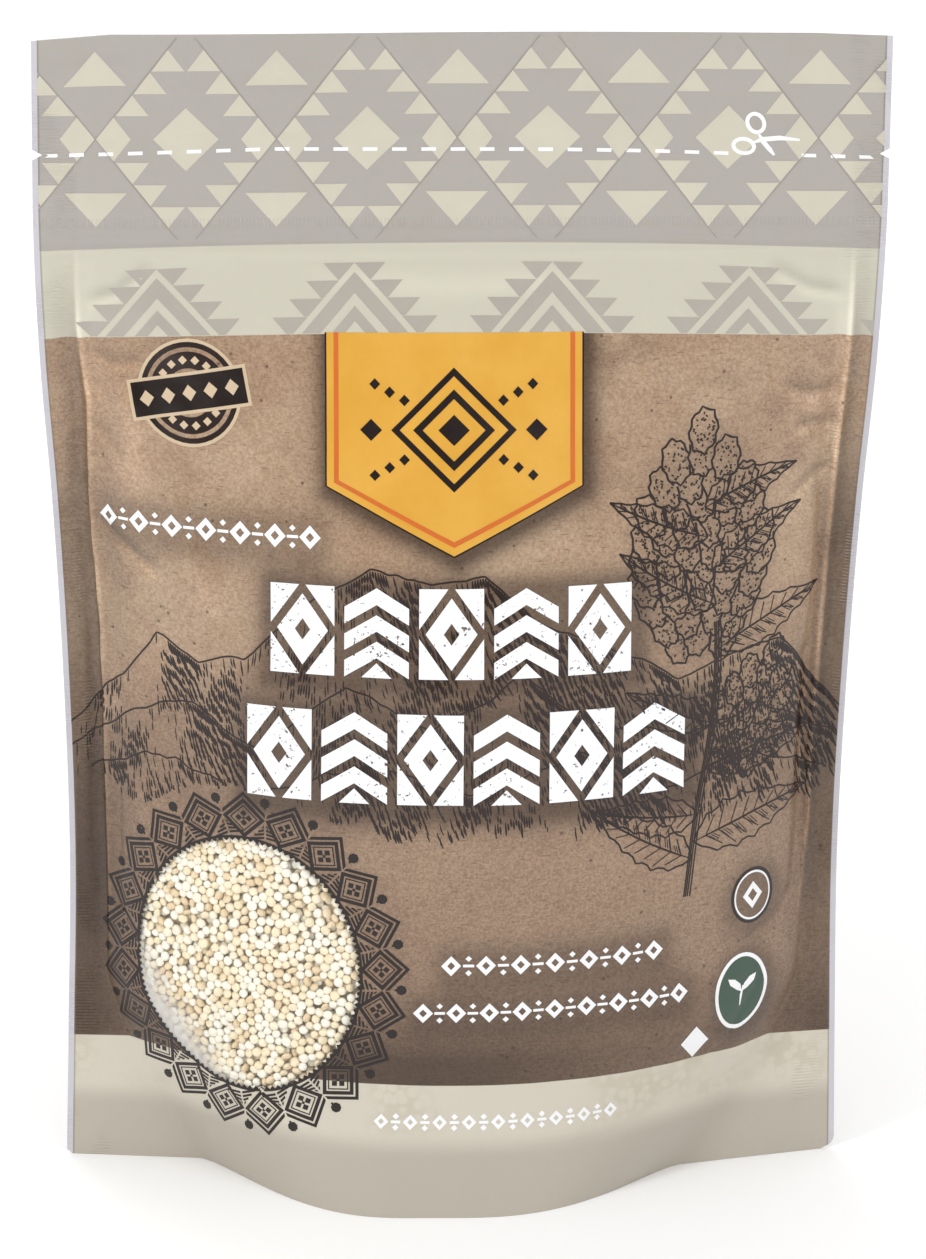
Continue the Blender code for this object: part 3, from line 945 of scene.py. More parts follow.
def front_faces():
    """Faces of the front net outside the window, and the open cells' boundary edges."""
    rows, columns = len(row_v), len(column_u)
    near = near_window(flat_u, flat_v, 0.9)
    open_cell = near[:-1, :-1] | near[:-1, 1:] | near[1:, :-1] | near[1:, 1:]
    faces = []
    boundary = []
    for j in range(rows - 1):
        for i in range(columns - 1):
            a = j * columns + i
            corners = (a, a + 1, a + columns + 1, a + columns)
            if not open_cell[j, i]:
                faces.append(corners)
                continue
            sides = ((j - 1, i, 0), (j, i + 1, 1), (j + 1, i, 2), (j, i - 1, 3))
            for jj, ii, k in sides:
                if not open_cell[jj, ii]:
                    boundary.append((corners[k], corners[(k + 1) % 4]))
    return faces, boundary


def window_collar(boundary, first_new):
    """Triangles between the open cells' boundary and the zigzag edge."""
    used = sorted({index for edge in boundary for index in edge})
    spots = [Vector((flat_u.ravel()[k] / MM, flat_v.ravel()[k] / MM)) for k in used]
    where = {index: k for k, index in enumerate(used)}
    edges = [(where[a], where[b]) for a, b in boundary]
    start = len(spots)
    ring = [Vector(p) for p in window_edge]
    edges += [(start + k, start + (k + 1) % len(ring)) for k in range(len(ring))]
    points, _, faces, origin, _, _ = delaunay_2d_cdt(spots + ring, edges, [], 1, 1e-6)
    assert len(points) == len(spots) + len(ring)
    kept = []
    for face in faces:
        middle = sum((points[k] for k in face), Vector((0.0, 0.0))) / len(face)
        if inside_outline(np.array([middle.x]), np.array([middle.y]), window_edge)[0]:
            continue
        named = [origin[k][0] for k in face]
        kept.append(tuple(used[k] if k < start else first_new + k - start for k in named))
    return kept


front_points = front_net.reshape(-1, 3)
front_flat = np.stack((flat_u.ravel(), flat_v.ravel()), axis=1)
shell_faces, open_boundary = front_faces()
edge_place, _ = on_front(window_edge[:, 0] * MM, window_edge[:, 1] * MM)
shell_faces += window_collar(open_boundary, len(front_points))
print("front faces:", len(shell_faces))

# %% The back, the edges and the base
RIM_WALL = 0.0007
RIM_LEAST = 0.0008
RIM_POINTS = 48
GROOVE_TOP = 0.009
GUSSET_FLAT_PART = 0.42
BASE_STEPS = ((0.0, 0.0, 1.0), (0.004, 0.004, 1.0), (0.008, 0.008, 0.99), (GROOVE_TOP, GROOVE_TOP, 0.95),
              (GROOVE_TOP, GROOVE_TOP, 0.86), (0.0078, 0.004, 0.79), (0.0055, 0.0, 0.70), (0.0030, 0.0, 0.60),
              (0.0010, 0.0, 0.50), (0.0, 0.0, GUSSET_FLAT_PART))


def base_ring(z, v, inner):
    """Outline of the hollow inside the rim, as wide as it is at height v and scaled by inner."""
    left, peak, right = belly_limits(0.0)
    x = np.linspace(left, right, 801)
    inside = x[half_depth(x, 0.0) - RIM_WALL > RIM_LEAST]
    share = 0.5 - 0.5 * np.cos(np.linspace(0.0, math.pi, RIM_POINTS))
    wide = inside[0] + (inside[-1] - inside[0]) * share
    half = np.maximum(half_depth(wide, v) - RIM_WALL, 0.0002) * inner
    x = peak + (wide - peak) * inner
    middle = middle_bend(wide, v) * inner
    front = np.stack((x, middle - half, np.full(x.shape, z)), axis=1)
    back = np.stack((x, middle + half, np.full(x.shape, z)), axis=1)[::-1]
    return np.concatenate((front, back))


def base_faces(front_row, back_row, points, first_new):
    """Faces of the rim, the groove and the gusset, and the new points they need."""
    rings = [base_ring(*step) for step in BASE_STEPS]
    outer = list(front_row) + list(back_row)[::-1]
    flat = [Vector(points[k][:2]) for k in outer] + [Vector(p[:2]) for p in rings[0]]
    start = len(outer)
    ring = len(rings[0])
    edges = [(k, (k + 1) % start) for k in range(start)]
    edges += [(start + k, start + (k + 1) % ring) for k in range(ring)]
    spots, _, faces, origin, _, _ = delaunay_2d_cdt(flat, edges, [], 1, 1e-8)
    assert len(spots) == len(flat)
    hollow = rings[0][:, :2]
    kept = []
    for face in faces:
        middle = sum((spots[k] for k in face), Vector((0.0, 0.0))) / len(face)
        if inside_outline(np.array([middle.x]), np.array([middle.y]), hollow)[0]:
            continue
        named = [origin[k][0] for k in face][::-1]
        kept.append(tuple(outer[k] if k < start else first_new + k - start for k in named))
    kept += belts(first_new, ring, len(rings), True)
    last = first_new + (len(rings) - 1) * ring
    half = ring // 2
    for i in range(half - 1):
        kept.append((last + i, last + ring - 1 - i, last + ring - 2 - i, last + i + 1))
    return kept, np.concatenate(rings)


def build_shell():
    """The whole film of the pouch as one mesh."""
    columns = len(column_u)
    rows = len(row_v)
    points = [front_points, edge_place]
    flat = [front_flat, window_edge * MM]
    faces = list(shell_faces)
    back_start = len(front_points) + len(edge_place)
    picked = np.arange(0, columns, 2)
    points.append(back_net[:, picked].reshape(-1, 3))
    flat.append(np.stack((flat_u[:, picked].ravel(), flat_v[:, picked].ravel()), axis=1))
    wide = len(picked)
    for j in range(rows - 1):
        for i in range(wide - 1):
            a = back_start + j * wide + i
            faces.append((a, a + wide, a + wide + 1, a + 1))
    for j in range(rows - 1):
        here, above = j * columns, (j + 1) * columns
        mate, mate_above = back_start + j * wide, back_start + (j + 1) * wide
        faces.append((here, above, mate_above, mate))
        faces.append((here + columns - 1, mate + wide - 1, mate_above + wide - 1, above + columns - 1))
    top = (rows - 1) * columns
    top_mate = back_start + (rows - 1) * wide
    for i in range(wide - 1):
        faces.append((top + 2 * i, top + 2 * i + 1, top + 2 * i + 2, top_mate + i + 1, top_mate + i))
    all_points = np.concatenate(points)
    base_start = len(all_points)
    front_row = range(columns)
    back_row = range(back_start, back_start + wide)
    more, ring_points = base_faces(front_row, back_row, all_points, base_start)
    faces += more
    all_points = np.concatenate((all_points, ring_points))
    flat.append(np.stack((ring_points[:, 0], ring_points[:, 2] + 0.002), axis=1))
    flat = np.concatenate(flat)
    return new_piece("pouch_film", all_points, faces, printed_film, flat, sharp_angle=55), flat


pouch_film, film_flat = build_shell()
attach(pouch_film, "root")
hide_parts("pouch")
print("pouch film:", triangle_count(pouch_film), "triangles")

# %% [markdown]
# ## Print as thin layers
# Crisp ink edges need more than a texture: each ink is its own thin layer, three
# hundredths of a millimetre over the film. A shape is drawn on the flat film as a polygon,
# cut along the net's rows and columns, and each bit is lifted onto the bent film. A layer
# so cut follows every crease without sinking into it.

# %% Laying a flat shape on the film
PRINT_LIFT = 0.00003
LIFT_STEP = 0.000002
LIFT_STEPS = 8


def cut_side(shape, axis, limit, below):
    """The part of a convex shape on one side of a line across u or v."""
    kept = []
    sign = 1.0 if below else -1.0
    for here, there in zip(shape, shape[1:] + shape[:1]):
        a = sign * (here[axis] - limit)
        b = sign * (there[axis] - limit)
        if a <= 0.0:
            kept.append(here)
        if a * b < 0.0:
            share = a / (a - b)
            kept.append((here[0] + (there[0] - here[0]) * share, here[1] + (there[1] - here[1]) * share))
    return kept


def cut_along(shape, axis, lines):
    """A convex shape cut into the bands between the lines."""
    low = min(p[axis] for p in shape)
    high = max(p[axis] for p in shape)
    first = int(np.searchsorted(lines, low, side="right"))
    last = int(np.searchsorted(lines, high, side="left"))
    bands = []
    rest = shape
    for k in range(first, last):
        band = cut_side(rest, axis, lines[k], True)
        rest = cut_side(rest, axis, lines[k], False)
        if len(band) > 2:
            bands.append(band)
        if len(rest) < 3:
            return bands
    return bands + [rest]


def flat_area(shape):
    """Signed area of a flat shape."""
    return 0.5 * sum(a[0] * b[1] - b[0] * a[1] for a, b in zip(shape, shape[1:] + shape[:1]))


def convex_parts(shape):
    """A flat outline as convex shapes: itself, or its triangles where it has a notch."""
    turns = []
    count = len(shape)
    for k in range(count):
        (au, av), (bu, bv), (cu, cv) = shape[k], shape[(k + 1) % count], shape[(k + 2) % count]
        turns.append((bu - au) * (cv - bv) - (bv - av) * (cu - bu))
    if min(turns) >= -1e-9 or max(turns) <= 1e-9:
        return [list(shape)]
    corners = tessellate_polygon([[Vector((u, v, 0.0)) for u, v in shape]])
    return [[shape[i] for i in corner] for corner in corners]


def lay_print(name, shapes, surface, lift=PRINT_LIFT):
    """One ink layer from flat shapes in mm."""
    index = {}
    faces = []
    for order, shape in enumerate(shapes):
        step = order % LIFT_STEPS
        for part in convex_parts([(float(u) * MM, float(v) * MM) for u, v in shape]):
            if flat_area(part) < 0:
                part = part[::-1]
            for column in cut_along(part, 0, column_u):
                for bit in cut_along(column, 1, row_v):
                    if abs(flat_area(bit)) < 1e-11:
                        continue
                    keys = [(round(u * 1e7), round(v * 1e7), step) for u, v in bit]
                    loop = []
                    for key in keys:
                        if not loop or key != loop[-1]:
                            loop.append(key)
                    if loop[0] == loop[-1]:
                        loop.pop()
                    if len(loop) > 2:
                        faces.append([index.setdefault(key, len(index)) for key in loop])
    spots = np.array(list(index), float)
    flat = spots[:, :2] * 1e-7
    flat[:, 0] = np.clip(flat[:, 0], -WIDTH / 2, WIDTH / 2)
    places, normals = on_front(flat[:, 0], flat[:, 1], lift + spots[:, 2] * LIFT_STEP)
    piece = new_piece(name, places, faces, surface, flat, normals)
    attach(piece, "root")
    print(name + ":", len(shapes), "shapes,", triangle_count(piece), "triangles")


# %% Flat shapes that the print is made of
def moved(shape, u, v, turn):
    """A shape turned and moved."""
    c, s = math.cos(turn), math.sin(turn)
    return [(u + a * c - b * s, v + a * s + b * c) for a, b in shape]


def diamond(u, v, half_width, half_height):
    """A diamond standing on its point."""
    return [(u + half_width, v), (u, v + half_height), (u - half_width, v), (u, v - half_height)]


def block(u1, v1, u2, v2):
    """An upright rectangle."""
    return [(u1, v1), (u2, v1), (u2, v2), (u1, v2)]


def disc(u, v, half_width, half_height=None, sides=40):
    """A round or oval field."""
    tall = half_height or half_width
    turns = [2 * math.pi * k / sides for k in range(sides)]
    return [(u + half_width * math.cos(t), v + tall * math.sin(t)) for t in turns]


def frame_of(outer, inner):
    """The band between two outlines with as many points, as quads."""
    count = len(outer)
    return [[outer[k], outer[(k + 1) % count], inner[(k + 1) % count], inner[k]] for k in range(count)]


def stroke(points, width, taper=True):
    """A drawn line of some width, thinner towards its ends, as quads."""
    spots = np.array(points, float)
    way = np.gradient(spots, axis=0)
    way /= np.maximum(np.linalg.norm(way, axis=1, keepdims=True), 1e-9)
    aside = np.stack((-way[:, 1], way[:, 0]), axis=1)
    share = np.linspace(0.0, 1.0, len(spots))
    half = np.full(len(spots), width / 2)
    if taper:
        half = half * np.clip(1.25 * np.sin(math.pi * np.clip(share, 0.04, 0.96)) ** 0.5, 0.2, 1.0)
    left = spots + aside * half[:, None]
    right = spots - aside * half[:, None]
    return [[tuple(right[k]), tuple(right[k + 1]), tuple(left[k + 1]), tuple(left[k])]
            for k in range(len(spots) - 1)]


print("a 2 mm diamond has an area of", abs(flat_area(diamond(0, 0, 1, 1))), "square mm")

# %% [markdown]
# ## Header and cream band
# The header's pattern is an old weaving figure: stairs of small triangles that climb from
# node to node, with large triangles and diamonds between them. Every figure sits on one
# lattice, so two loops draw it. The cream band carries stepped peaks with chevrons inside,
# in the header's grey. Shapes that run past the side edges are clipped to the film.

# %% Header lattice
NODE_FIRST = -75.9
NODE_PITCH = 37.5
NODE_LEVEL = 231.4
STAIR_ACROSS = 3.7
STAIR_UP = 4.85
NODES = [NODE_FIRST + k * NODE_PITCH for k in range(-1, 6)]


def within_film(shapes):
    """Shapes clipped to the printed width of the film."""
    kept = []
    for shape in shapes:
        for part in convex_parts(list(shape)):
            part = cut_side(part, 0, PRINT_LIMIT, True)
            if len(part) > 2:
                part = cut_side(part, 0, -PRINT_LIMIT, False)
            if len(part) > 2:
                kept.append(part)
    return kept


def header_lattice():
    """Light figures of the header."""
    shapes = []
    for node in NODES:
        middle = node + NODE_PITCH / 2
        shapes.append(diamond(middle, NODE_LEVEL, 6.8, 6.9))
        for up in (1.0, -1.0):
            base = NODE_LEVEL + up * 11.7
            shapes.append([(node - 6.5, base), (node + 6.5, base), (node, NODE_LEVEL + up * 19.2)])
            for side in (-1, 1):
                for step in range(3):
                    tip = middle + side * (step + 1) * STAIR_ACROSS
                    top = NODE_LEVEL + up * (4 - step) * STAIR_UP
                    foot = top - up * (STAIR_UP - 0.25)
                    shapes.append([(tip - 3.45, foot), (tip + 3.45, foot), (tip, top)])
        for side in (-1, 1):
            shapes.append(diamond(node + side * 3.75, NODE_LEVEL, 3.6, 4.8))
    return within_film(shapes)


def header_seams():
    """Thin lines along the lattice, from each node to the middle of the next figure."""
    shapes = []
    for node in NODES:
        for side in (-1, 1):
            for up in (-1, 1):
                far = (node + side * 16.9, NODE_LEVEL + up * 22.0)
                shapes += stroke([(node, NODE_LEVEL), far], 0.20, False)
    return within_film(shapes)


lay_print("header_print", header_lattice(), header_ink)
lay_print("header_seams", header_seams(), seam_ink, PRINT_LIFT * 2)

# %% Stepped peaks
PEAK_FIRST = -63.6
PEAK_PITCH = 41.4
PEAK_HEIGHT = 13.9
PEAK_SLOPE = 12.9 / 13.9
TOOTH_HEIGHT = 3.55


def peak_figure(u):
    """One stepped peak over the band's lower border."""
    floor = BAND_FROM + 0.15
    top = floor + PEAK_HEIGHT
    shapes = []
    for side in (-1, 1):
        for row in range(4):
            high = top - row * TOOTH_HEIGHT
            low = max(high - TOOTH_HEIGHT + 0.1, floor)
            inner_high = row * TOOTH_HEIGHT * PEAK_SLOPE
            inner_low = (top - low) * PEAK_SLOPE
            outer = 6.5 + row * 3.6
            outer_low = outer - (high - low) * 0.9
            shapes.append([(u + side * inner_high, high), (u + side * outer, high),
                           (u + side * outer_low, low), (u + side * inner_low, low)])
        for start, end in ((1.9, 6.1), (8.6, 11.6)):
            outer_foot = (PEAK_HEIGHT - start) * PEAK_SLOPE
            inner_foot = (PEAK_HEIGHT - end) * PEAK_SLOPE
            shapes.append([(u, top - start), (u + side * outer_foot, floor),
                           (u + side * inner_foot, floor), (u, top - end)])
    return shapes


def stepped_peaks():
    """All the peaks, with those at the sides cut by the film's edge."""
    shapes = []
    for k in range(-1, 5):
        shapes += peak_figure(PEAK_FIRST + k * PEAK_PITCH)
    return within_film([[(u, v - BAND_BOW * (u / BOW_REACH) ** 2) for u, v in shape] for shape in shapes])


lay_print("step_print", stepped_peaks(), step_ink)

# %% [markdown]
# ## The diamond ring
# Twenty-one diamonds touch at their corners round the window. Each has a thick outline, a
# thin line inside it, a flower of four petals, and a second line over its outer sides.
# Little steps fill the gaps towards the window, and a round dot stands in each gap
# outside. One figure is drawn in its own upright frame, and a loop turns it to each place
# on the ellipse.

# %% Ring figures
RING_HALF_WIDTH = 30.0
RING_HALF_HEIGHT = 34.0
RING_FIGURES = 21
RING_TALL = 4.6
TEETH_WIDTH = 0.85


def ring_figure(pitch):
    """One diamond of the ring with its share of the filling, in its own frame."""
    wide = pitch / 2
    slope = RING_TALL / wide

    def ring_diamond(inset):
        return diamond(0, 0, wide - inset, RING_TALL - inset * slope)

    shapes = frame_of(ring_diamond(0.0), ring_diamond(1.15))
    shapes += frame_of(ring_diamond(1.62), ring_diamond(2.02))
    for u, v in ((1.15, 0), (0, 1.1), (-1.15, 0), (0, -1.1)):
        shapes.append(diamond(u, v, 0.80, 0.76))
    shapes.append(diamond(0, 0, 0.42, 0.42))
    for side in (-1, 1):
        low, high, far = 0.55, 1.50, side * wide
        shapes.append([(0, RING_TALL + low), (0, RING_TALL + high), (far, high), (far, low)])
    shapes.append(disc(wide, 4.0, 1.15, sides=8))
    shapes.append(block(wide - 0.25, 2.6, wide + 0.25, 3.2))
    for level, reach in ((-1.4, 0.7), (-2.3, 1.6), (-3.2, 2.5), (-4.1, 3.4)):
        for side in (-1, 1):
            near, far = wide + side * 0.22, wide + side * reach
            middle = level - 0.10
            shapes.append([(near, level + 0.42), (far, middle), (far, level - 0.62), (near, middle)])
    return shapes


def diamond_ring():
    """The whole ring, and the dark teeth along the window's edge."""
    spots, outward, pitch = ellipse_places(RING_HALF_WIDTH, RING_HALF_HEIGHT, RING_FIGURES)
    shapes = []
    for spot, away in zip(spots, outward):
        turn = math.atan2(away[1], away[0]) - math.pi / 2
        for shape in ring_figure(pitch):
            shapes.append(moved(shape, spot[0], spot[1], turn))
    rim, away, _ = ellipse_places(WINDOW_HALF_WIDTH, WINDOW_HALF_HEIGHT, 2 * ZIGZAG_TEETH)
    rim = rim + away * TEETH_WIDTH
    for k in range(-1, len(rim) - 1):
        shapes.append([tuple(window_edge[k]), tuple(window_edge[k + 1]), tuple(rim[k + 1]), tuple(rim[k])])
    return within_film(shapes)


lay_print("ring_print", diamond_ring(), dark_ink)

# %% [markdown]
# ## Label, frieze and small marks
# Plain folk figures in brighter inks lie on the kraft: a yellow pennant with an orange
# border and a stepped diamond, two rows of white blocks cut by diamonds and chevrons,
# strings of small diamonds, a plain round stamp, a ring and a green disc with a sprout.
# Each is a few polygons from a small function, so a row of them is one loop. The dashes
# and the little scissors show where to cut.

# %% Label
LABEL_LEFT = -28.2
LABEL_RIGHT = 25.5
LABEL_TOP = 190.7
LABEL_SIDE_LOW = 160.0
LABEL_TIP = (-1.5, 146.1)


def pennant(inset, top):
    """Outline of the pennant, drawn inside its edge by an inset."""
    low = LABEL_SIDE_LOW + inset * 0.48
    left, right = LABEL_LEFT + inset, LABEL_RIGHT - inset
    return [(left, top), (left, low), (LABEL_TIP[0], LABEL_TIP[1] + inset * 1.16), (right, low), (right, top)]


def label_border():
    """The orange line inside the pennant's edge."""
    outer = pennant(1.5, LABEL_TOP)
    inner = pennant(2.5, LABEL_TOP)
    return [[outer[k], outer[k + 1], inner[k + 1], inner[k]] for k in range(4)]


def label_motif():
    """A stepped diamond with bars beside it, in dark ink."""
    u, v = LABEL_TIP[0], 171.5
    shapes = frame_of(diamond(u, v, 13.2, 12.4), diamond(u, v, 11.4, 10.7))
    shapes += frame_of(diamond(u, v, 8.6, 8.1), diamond(u, v, 6.6, 6.2))
    shapes.append(diamond(u, v, 3.3, 3.1))
    for side in (-1, 1):
        for step in range(3):
            foot = u + side * (10.4 + step * 3.1)
            for up in (-1, 1):
                level = v + up * (5.9 + step * 1.6)
                shapes.append(diamond(foot, level, 1.15, 1.15))
        shapes.append(diamond(u + side * 17.4, v, 2.3, 2.2))
    return shapes


lay_print("label_edge", [pennant(-0.35, LABEL_TOP)], dark_ink)
lay_print("label_field", [pennant(0.0, LABEL_TOP)], yellow_ink, PRINT_LIFT * 2)
lay_print("label_border", label_border(), orange_ink, PRINT_LIFT * 3)
lay_print("label_motif", label_motif(), dark_ink, PRINT_LIFT * 3)

# %% White frieze
FRIEZE_ROWS = ((-40.2, 36.2, 120.2, 139.3, 5), (-45.2, 48.6, 92.7, 112.6, 6))
BLOCK_GAP = 2.1


def diamond_block(u1, v1, u2, v2):
    """A block cut by a diamond line, with a small diamond hole in the middle."""
    u, v = (u1 + u2) / 2, (v1 + v2) / 2
    a, b = (u2 - u1) / 2, (v2 - v1) / 2
    shapes = frame_of(diamond(u, v, a * 0.80, b * 0.80), diamond(u, v, a * 0.24, b * 0.24))
    for su, sv in ((a, b), (-a, b), (-a, -b), (a, -b)):
        shapes.append([(u + su, v + sv), (u + su * 0.10, v + sv), (u + su, v + sv * 0.10)])
    return shapes


def chevron_block(u1, v1, u2, v2):
    """A block of stacked chevrons."""
    u = (u1 + u2) / 2
    rise = (v2 - v1) * 0.22
    thick = (v2 - v1) * 0.185
    shapes = []
    for k in range(3):
        foot = v1 + k * (v2 - v1 - rise - thick) / 2
        shapes.append([(u1, foot), (u, foot + rise), (u, foot + rise + thick), (u1, foot + thick)])
        shapes.append([(u, foot + rise), (u2, foot), (u2, foot + thick), (u, foot + rise + thick)])
    shapes.append([(u - 3.2, v1), (u + 3.2, v1), (u, v1 + rise * 0.75)])
    return shapes


def frieze():
    """Two rows of white blocks."""
    shapes = []
    for u1, u2, v1, v2, count in FRIEZE_ROWS:
        wide = (u2 - u1 + BLOCK_GAP) / count
        for k in range(count):
            left = u1 + k * wide
            draw = diamond_block if k % 2 == 0 else chevron_block
            shapes += draw(left, v1, left + wide - BLOCK_GAP, v2)
    return shapes


lay_print("frieze_print", frieze(), white_ink, PRINT_LIFT * 2)

# %% Small lines, dashes and scissors
STRINGS = ((-76.5, -31.8, 149.2, 7, 2.5), (-1.6, 42.4, 56.4, 7, 2.3), (-7.4, 48.4, 45.4, 9, 2.3),
           (-15.6, 33.8, 20.1, 9, 1.7))
DASH_LEVELS = ((-87.0, 227.8), (-39.7, 229.2), (0.0, 228.9), (40.0, 228.4), (86.0, 227.2))
DASH_FIRST = -87.4
DASH_PITCH = 6.08
DASH_LENGTH = 3.05
DASH_HEIGHT = 0.80


def diamond_string(u1, u2, v, count, half):
    """Diamonds on a thin line, with a pair of small ones between them."""
    shapes = []
    pitch = (u2 - u1) / (count - 1)
    for k in range(count):
        u = u1 + k * pitch
        shapes += frame_of(diamond(u, v, half * 0.92, half), diamond(u, v, half * 0.36, half * 0.4))
        if k < count - 1:
            middle = u + pitch / 2
            shapes.append(block(middle - pitch * 0.16, v - 0.32, middle + pitch * 0.16, v + 0.32))
            shapes.append(diamond(middle, v + half * 0.72, 0.7, 0.7))
            shapes.append(diamond(middle, v - half * 0.72, 0.7, 0.7))
    return shapes


def dash_line():
    """The row of dashes between the tear notches."""
    places, levels = zip(*DASH_LEVELS)
    shapes = []
    count = int((2 * 87.0) / DASH_PITCH) + 1
    for k in range(count):
        u1 = DASH_FIRST + k * DASH_PITCH
        if 55.0 < u1 < 68.0:
            continue
        u2 = min(u1 + DASH_LENGTH, 87.6)
        v1, v2 = np.interp((u1, u2), places, levels)
        half = DASH_HEIGHT / 2
        shapes.append([(u1, v1 - half), (u2, v2 - half), (u2, v2 + half), (u1, v1 + half)])
    return shapes


def scissors():
    """Scissors that lie on the cut line, with their blades to the right."""
    shapes = []
    for u, v, wide, tall, turn in ((61.0, 234.6, 2.1, 2.5, 0.5), (58.6, 229.6, 2.6, 2.0, -0.2)):
        outer = moved(disc(0, 0, wide, tall, 18), u, v, turn)
        inner = moved(disc(0, 0, wide - 0.85, tall - 0.85, 18), u, v, turn)
        shapes += frame_of(outer, inner)
    shapes += stroke([(61.6, 232.4), (62.6, 230.6), (64.0, 228.9), (65.0, 227.6)], 1.0)
    shapes += stroke([(60.6, 230.4), (62.6, 231.1), (66.0, 231.4), (70.2, 231.0)], 1.05)
    return shapes


small_white = dash_line() + scissors()
for string in STRINGS:
    small_white += diamond_string(*string)
lay_print("small_white_print", small_white, clean_white_ink, PRINT_LIFT * 2)

# %% Stamp, ring mark, green disc and small diamond
STAMP = (-57.2, 177.6)
RING_MARK = (66.6, 64.4)
GREEN_DISC = (64.2, 42.3)
SMALL_DIAMOND = (53.2, 32.4)


def stamp_shapes():
    """Dark rings, pale edges, band and figures of the plain round stamp."""
    u, v = STAMP
    dark = frame_of(disc(u, v, 10.4, 10.6), disc(u, v, 9.3, 9.5))
    dark += frame_of(disc(u, v, 8.4, 8.6), disc(u, v, 4.9, 5.1))
    tilt = 0.18
    pale = frame_of(disc(u, v, 11.1, 11.3), disc(u, v, 10.4, 10.6))
    for k in range(16):
        turn = 2 * math.pi * (k + 0.5) / 16
        pale.append(diamond(u + 6.7 * math.cos(turn), v + 6.9 * math.sin(turn), 0.95, 0.95))
    pale.append(moved(block(-12.8, -4.3, 12.8, 4.3), u, v, tilt))
    band = [moved(block(-12.1, -3.6, 12.1, 3.6), u, v, tilt)]
    marks = [moved(diamond(k * 4.6, 0, 1.5, 1.7), u, v, tilt) for k in (-2, -1, 0, 1, 2)]
    return dark, pale, band, marks


def sprout(u, v, size):
    """Two leaves on a short stem."""
    shapes = stroke([(u, v - size), (u, v - size * 0.3), (u + size * 0.05, v + size * 0.3)], size * 0.16)
    for side in (-1, 1):
        leaf = [(0, 0), (0.35, 0.18), (0.8, 0.55), (0.95, 0.95), (0.5, 0.85), (0.12, 0.5)]
        shapes.append([(u + side * a * size, v - size * 0.1 + b * size) for a, b in leaf])
    return shapes


stamp_dark, stamp_pale, stamp_band, stamp_marks = stamp_shapes()
u_ring, v_ring = RING_MARK
u_disc, v_disc = GREEN_DISC
mark_dark = frame_of(disc(u_ring, v_ring, 5.6, 6.5), disc(u_ring, v_ring, 4.9, 5.8))
mark_white = frame_of(disc(u_ring, v_ring, 4.8, 5.7), disc(u_ring, v_ring, 4.4, 5.2))
mark_white += frame_of(diamond(u_ring, v_ring, 2.6, 3.2), diamond(u_ring, v_ring, 1.2, 1.5))
mark_white += frame_of(disc(u_disc, v_disc, 6.9, 9.0), disc(u_disc, v_disc, 6.0, 8.1))
mark_white.append(diamond(*SMALL_DIAMOND, 3.4, 3.9))
lay_print("stamp_and_mark_dark", stamp_dark + mark_dark, line_ink, PRINT_LIFT * 2)
lay_print("mark_white", mark_white, clean_white_ink, PRINT_LIFT * 2)
lay_print("stamp_pale", stamp_pale, stamp_ink, PRINT_LIFT * 3)
lay_print("stamp_band", stamp_band, dark_ink, PRINT_LIFT * 4)
lay_print("green_disc", [disc(u_disc, v_disc, 5.9, 8.0)], green_ink, PRINT_LIFT * 2)
lay_print("disc_sprout", sprout(u_disc, v_disc + 0.3, 3.9), clean_white_ink, PRINT_LIFT * 3)
lay_print("stamp_diamonds", stamp_marks, stamp_ink, PRINT_LIFT * 5)

# %% [markdown]
# ## Engraved hills and plant
# Fine engraving lies on the kraft behind the frieze: ranges of hills across the pouch, and
# a tall seed plant on the right. An engraver shades with strokes, so each range is a jagged
# ridge with short strokes down its slopes, thick on the shaded sides and sparse on the lit
# ones. The plant is knots of seeds along a stem, and toothed leaves with veins. A knot
# hides the strokes of those behind it, which is what makes it read as solid.

# %% Hills
LINE_WIDTH = 0.26
HATCH_STEP = 0.55
RING_CLEAR = 13.0
RANGES = (
    ((-89, 101), (-77, 111), (-66, 124), (-56, 119), (-46, 122), (-33, 134), (-19, 142), (-9, 138), (5, 141),
     (20, 131), (33, 124), (47, 117), (60, 120), (71, 122), (80, 112), (89, 104)),
    ((-89, 95), (-72, 105), (-58, 111), (-42, 103), (-24, 117), (-6, 108), (13, 119), (30, 108), (48, 105),
     (66, 110), (89, 97)),
    ((-84, 91), (-62, 98), (-46, 93), (-20, 102), (2, 95), (24, 103), (44, 93), (66, 99), (86, 91)),
)


def ridge_line(points, seed):
    """A ridge with small seeded steps, as heights over evenly spaced places."""
    chance = np.random.default_rng(seed)
    u = np.arange(points[0][0], points[-1][0], HATCH_STEP)
    v = np.interp(u, *zip(*points))
    for length, amount in ((13.0, 1.8), (5.0, 0.9), (1.8, 0.35)):
        knots = np.arange(u[0], u[-1] + length, length)
        v = v + np.interp(u, knots, chance.uniform(-amount, amount, len(knots)))
    return u, v


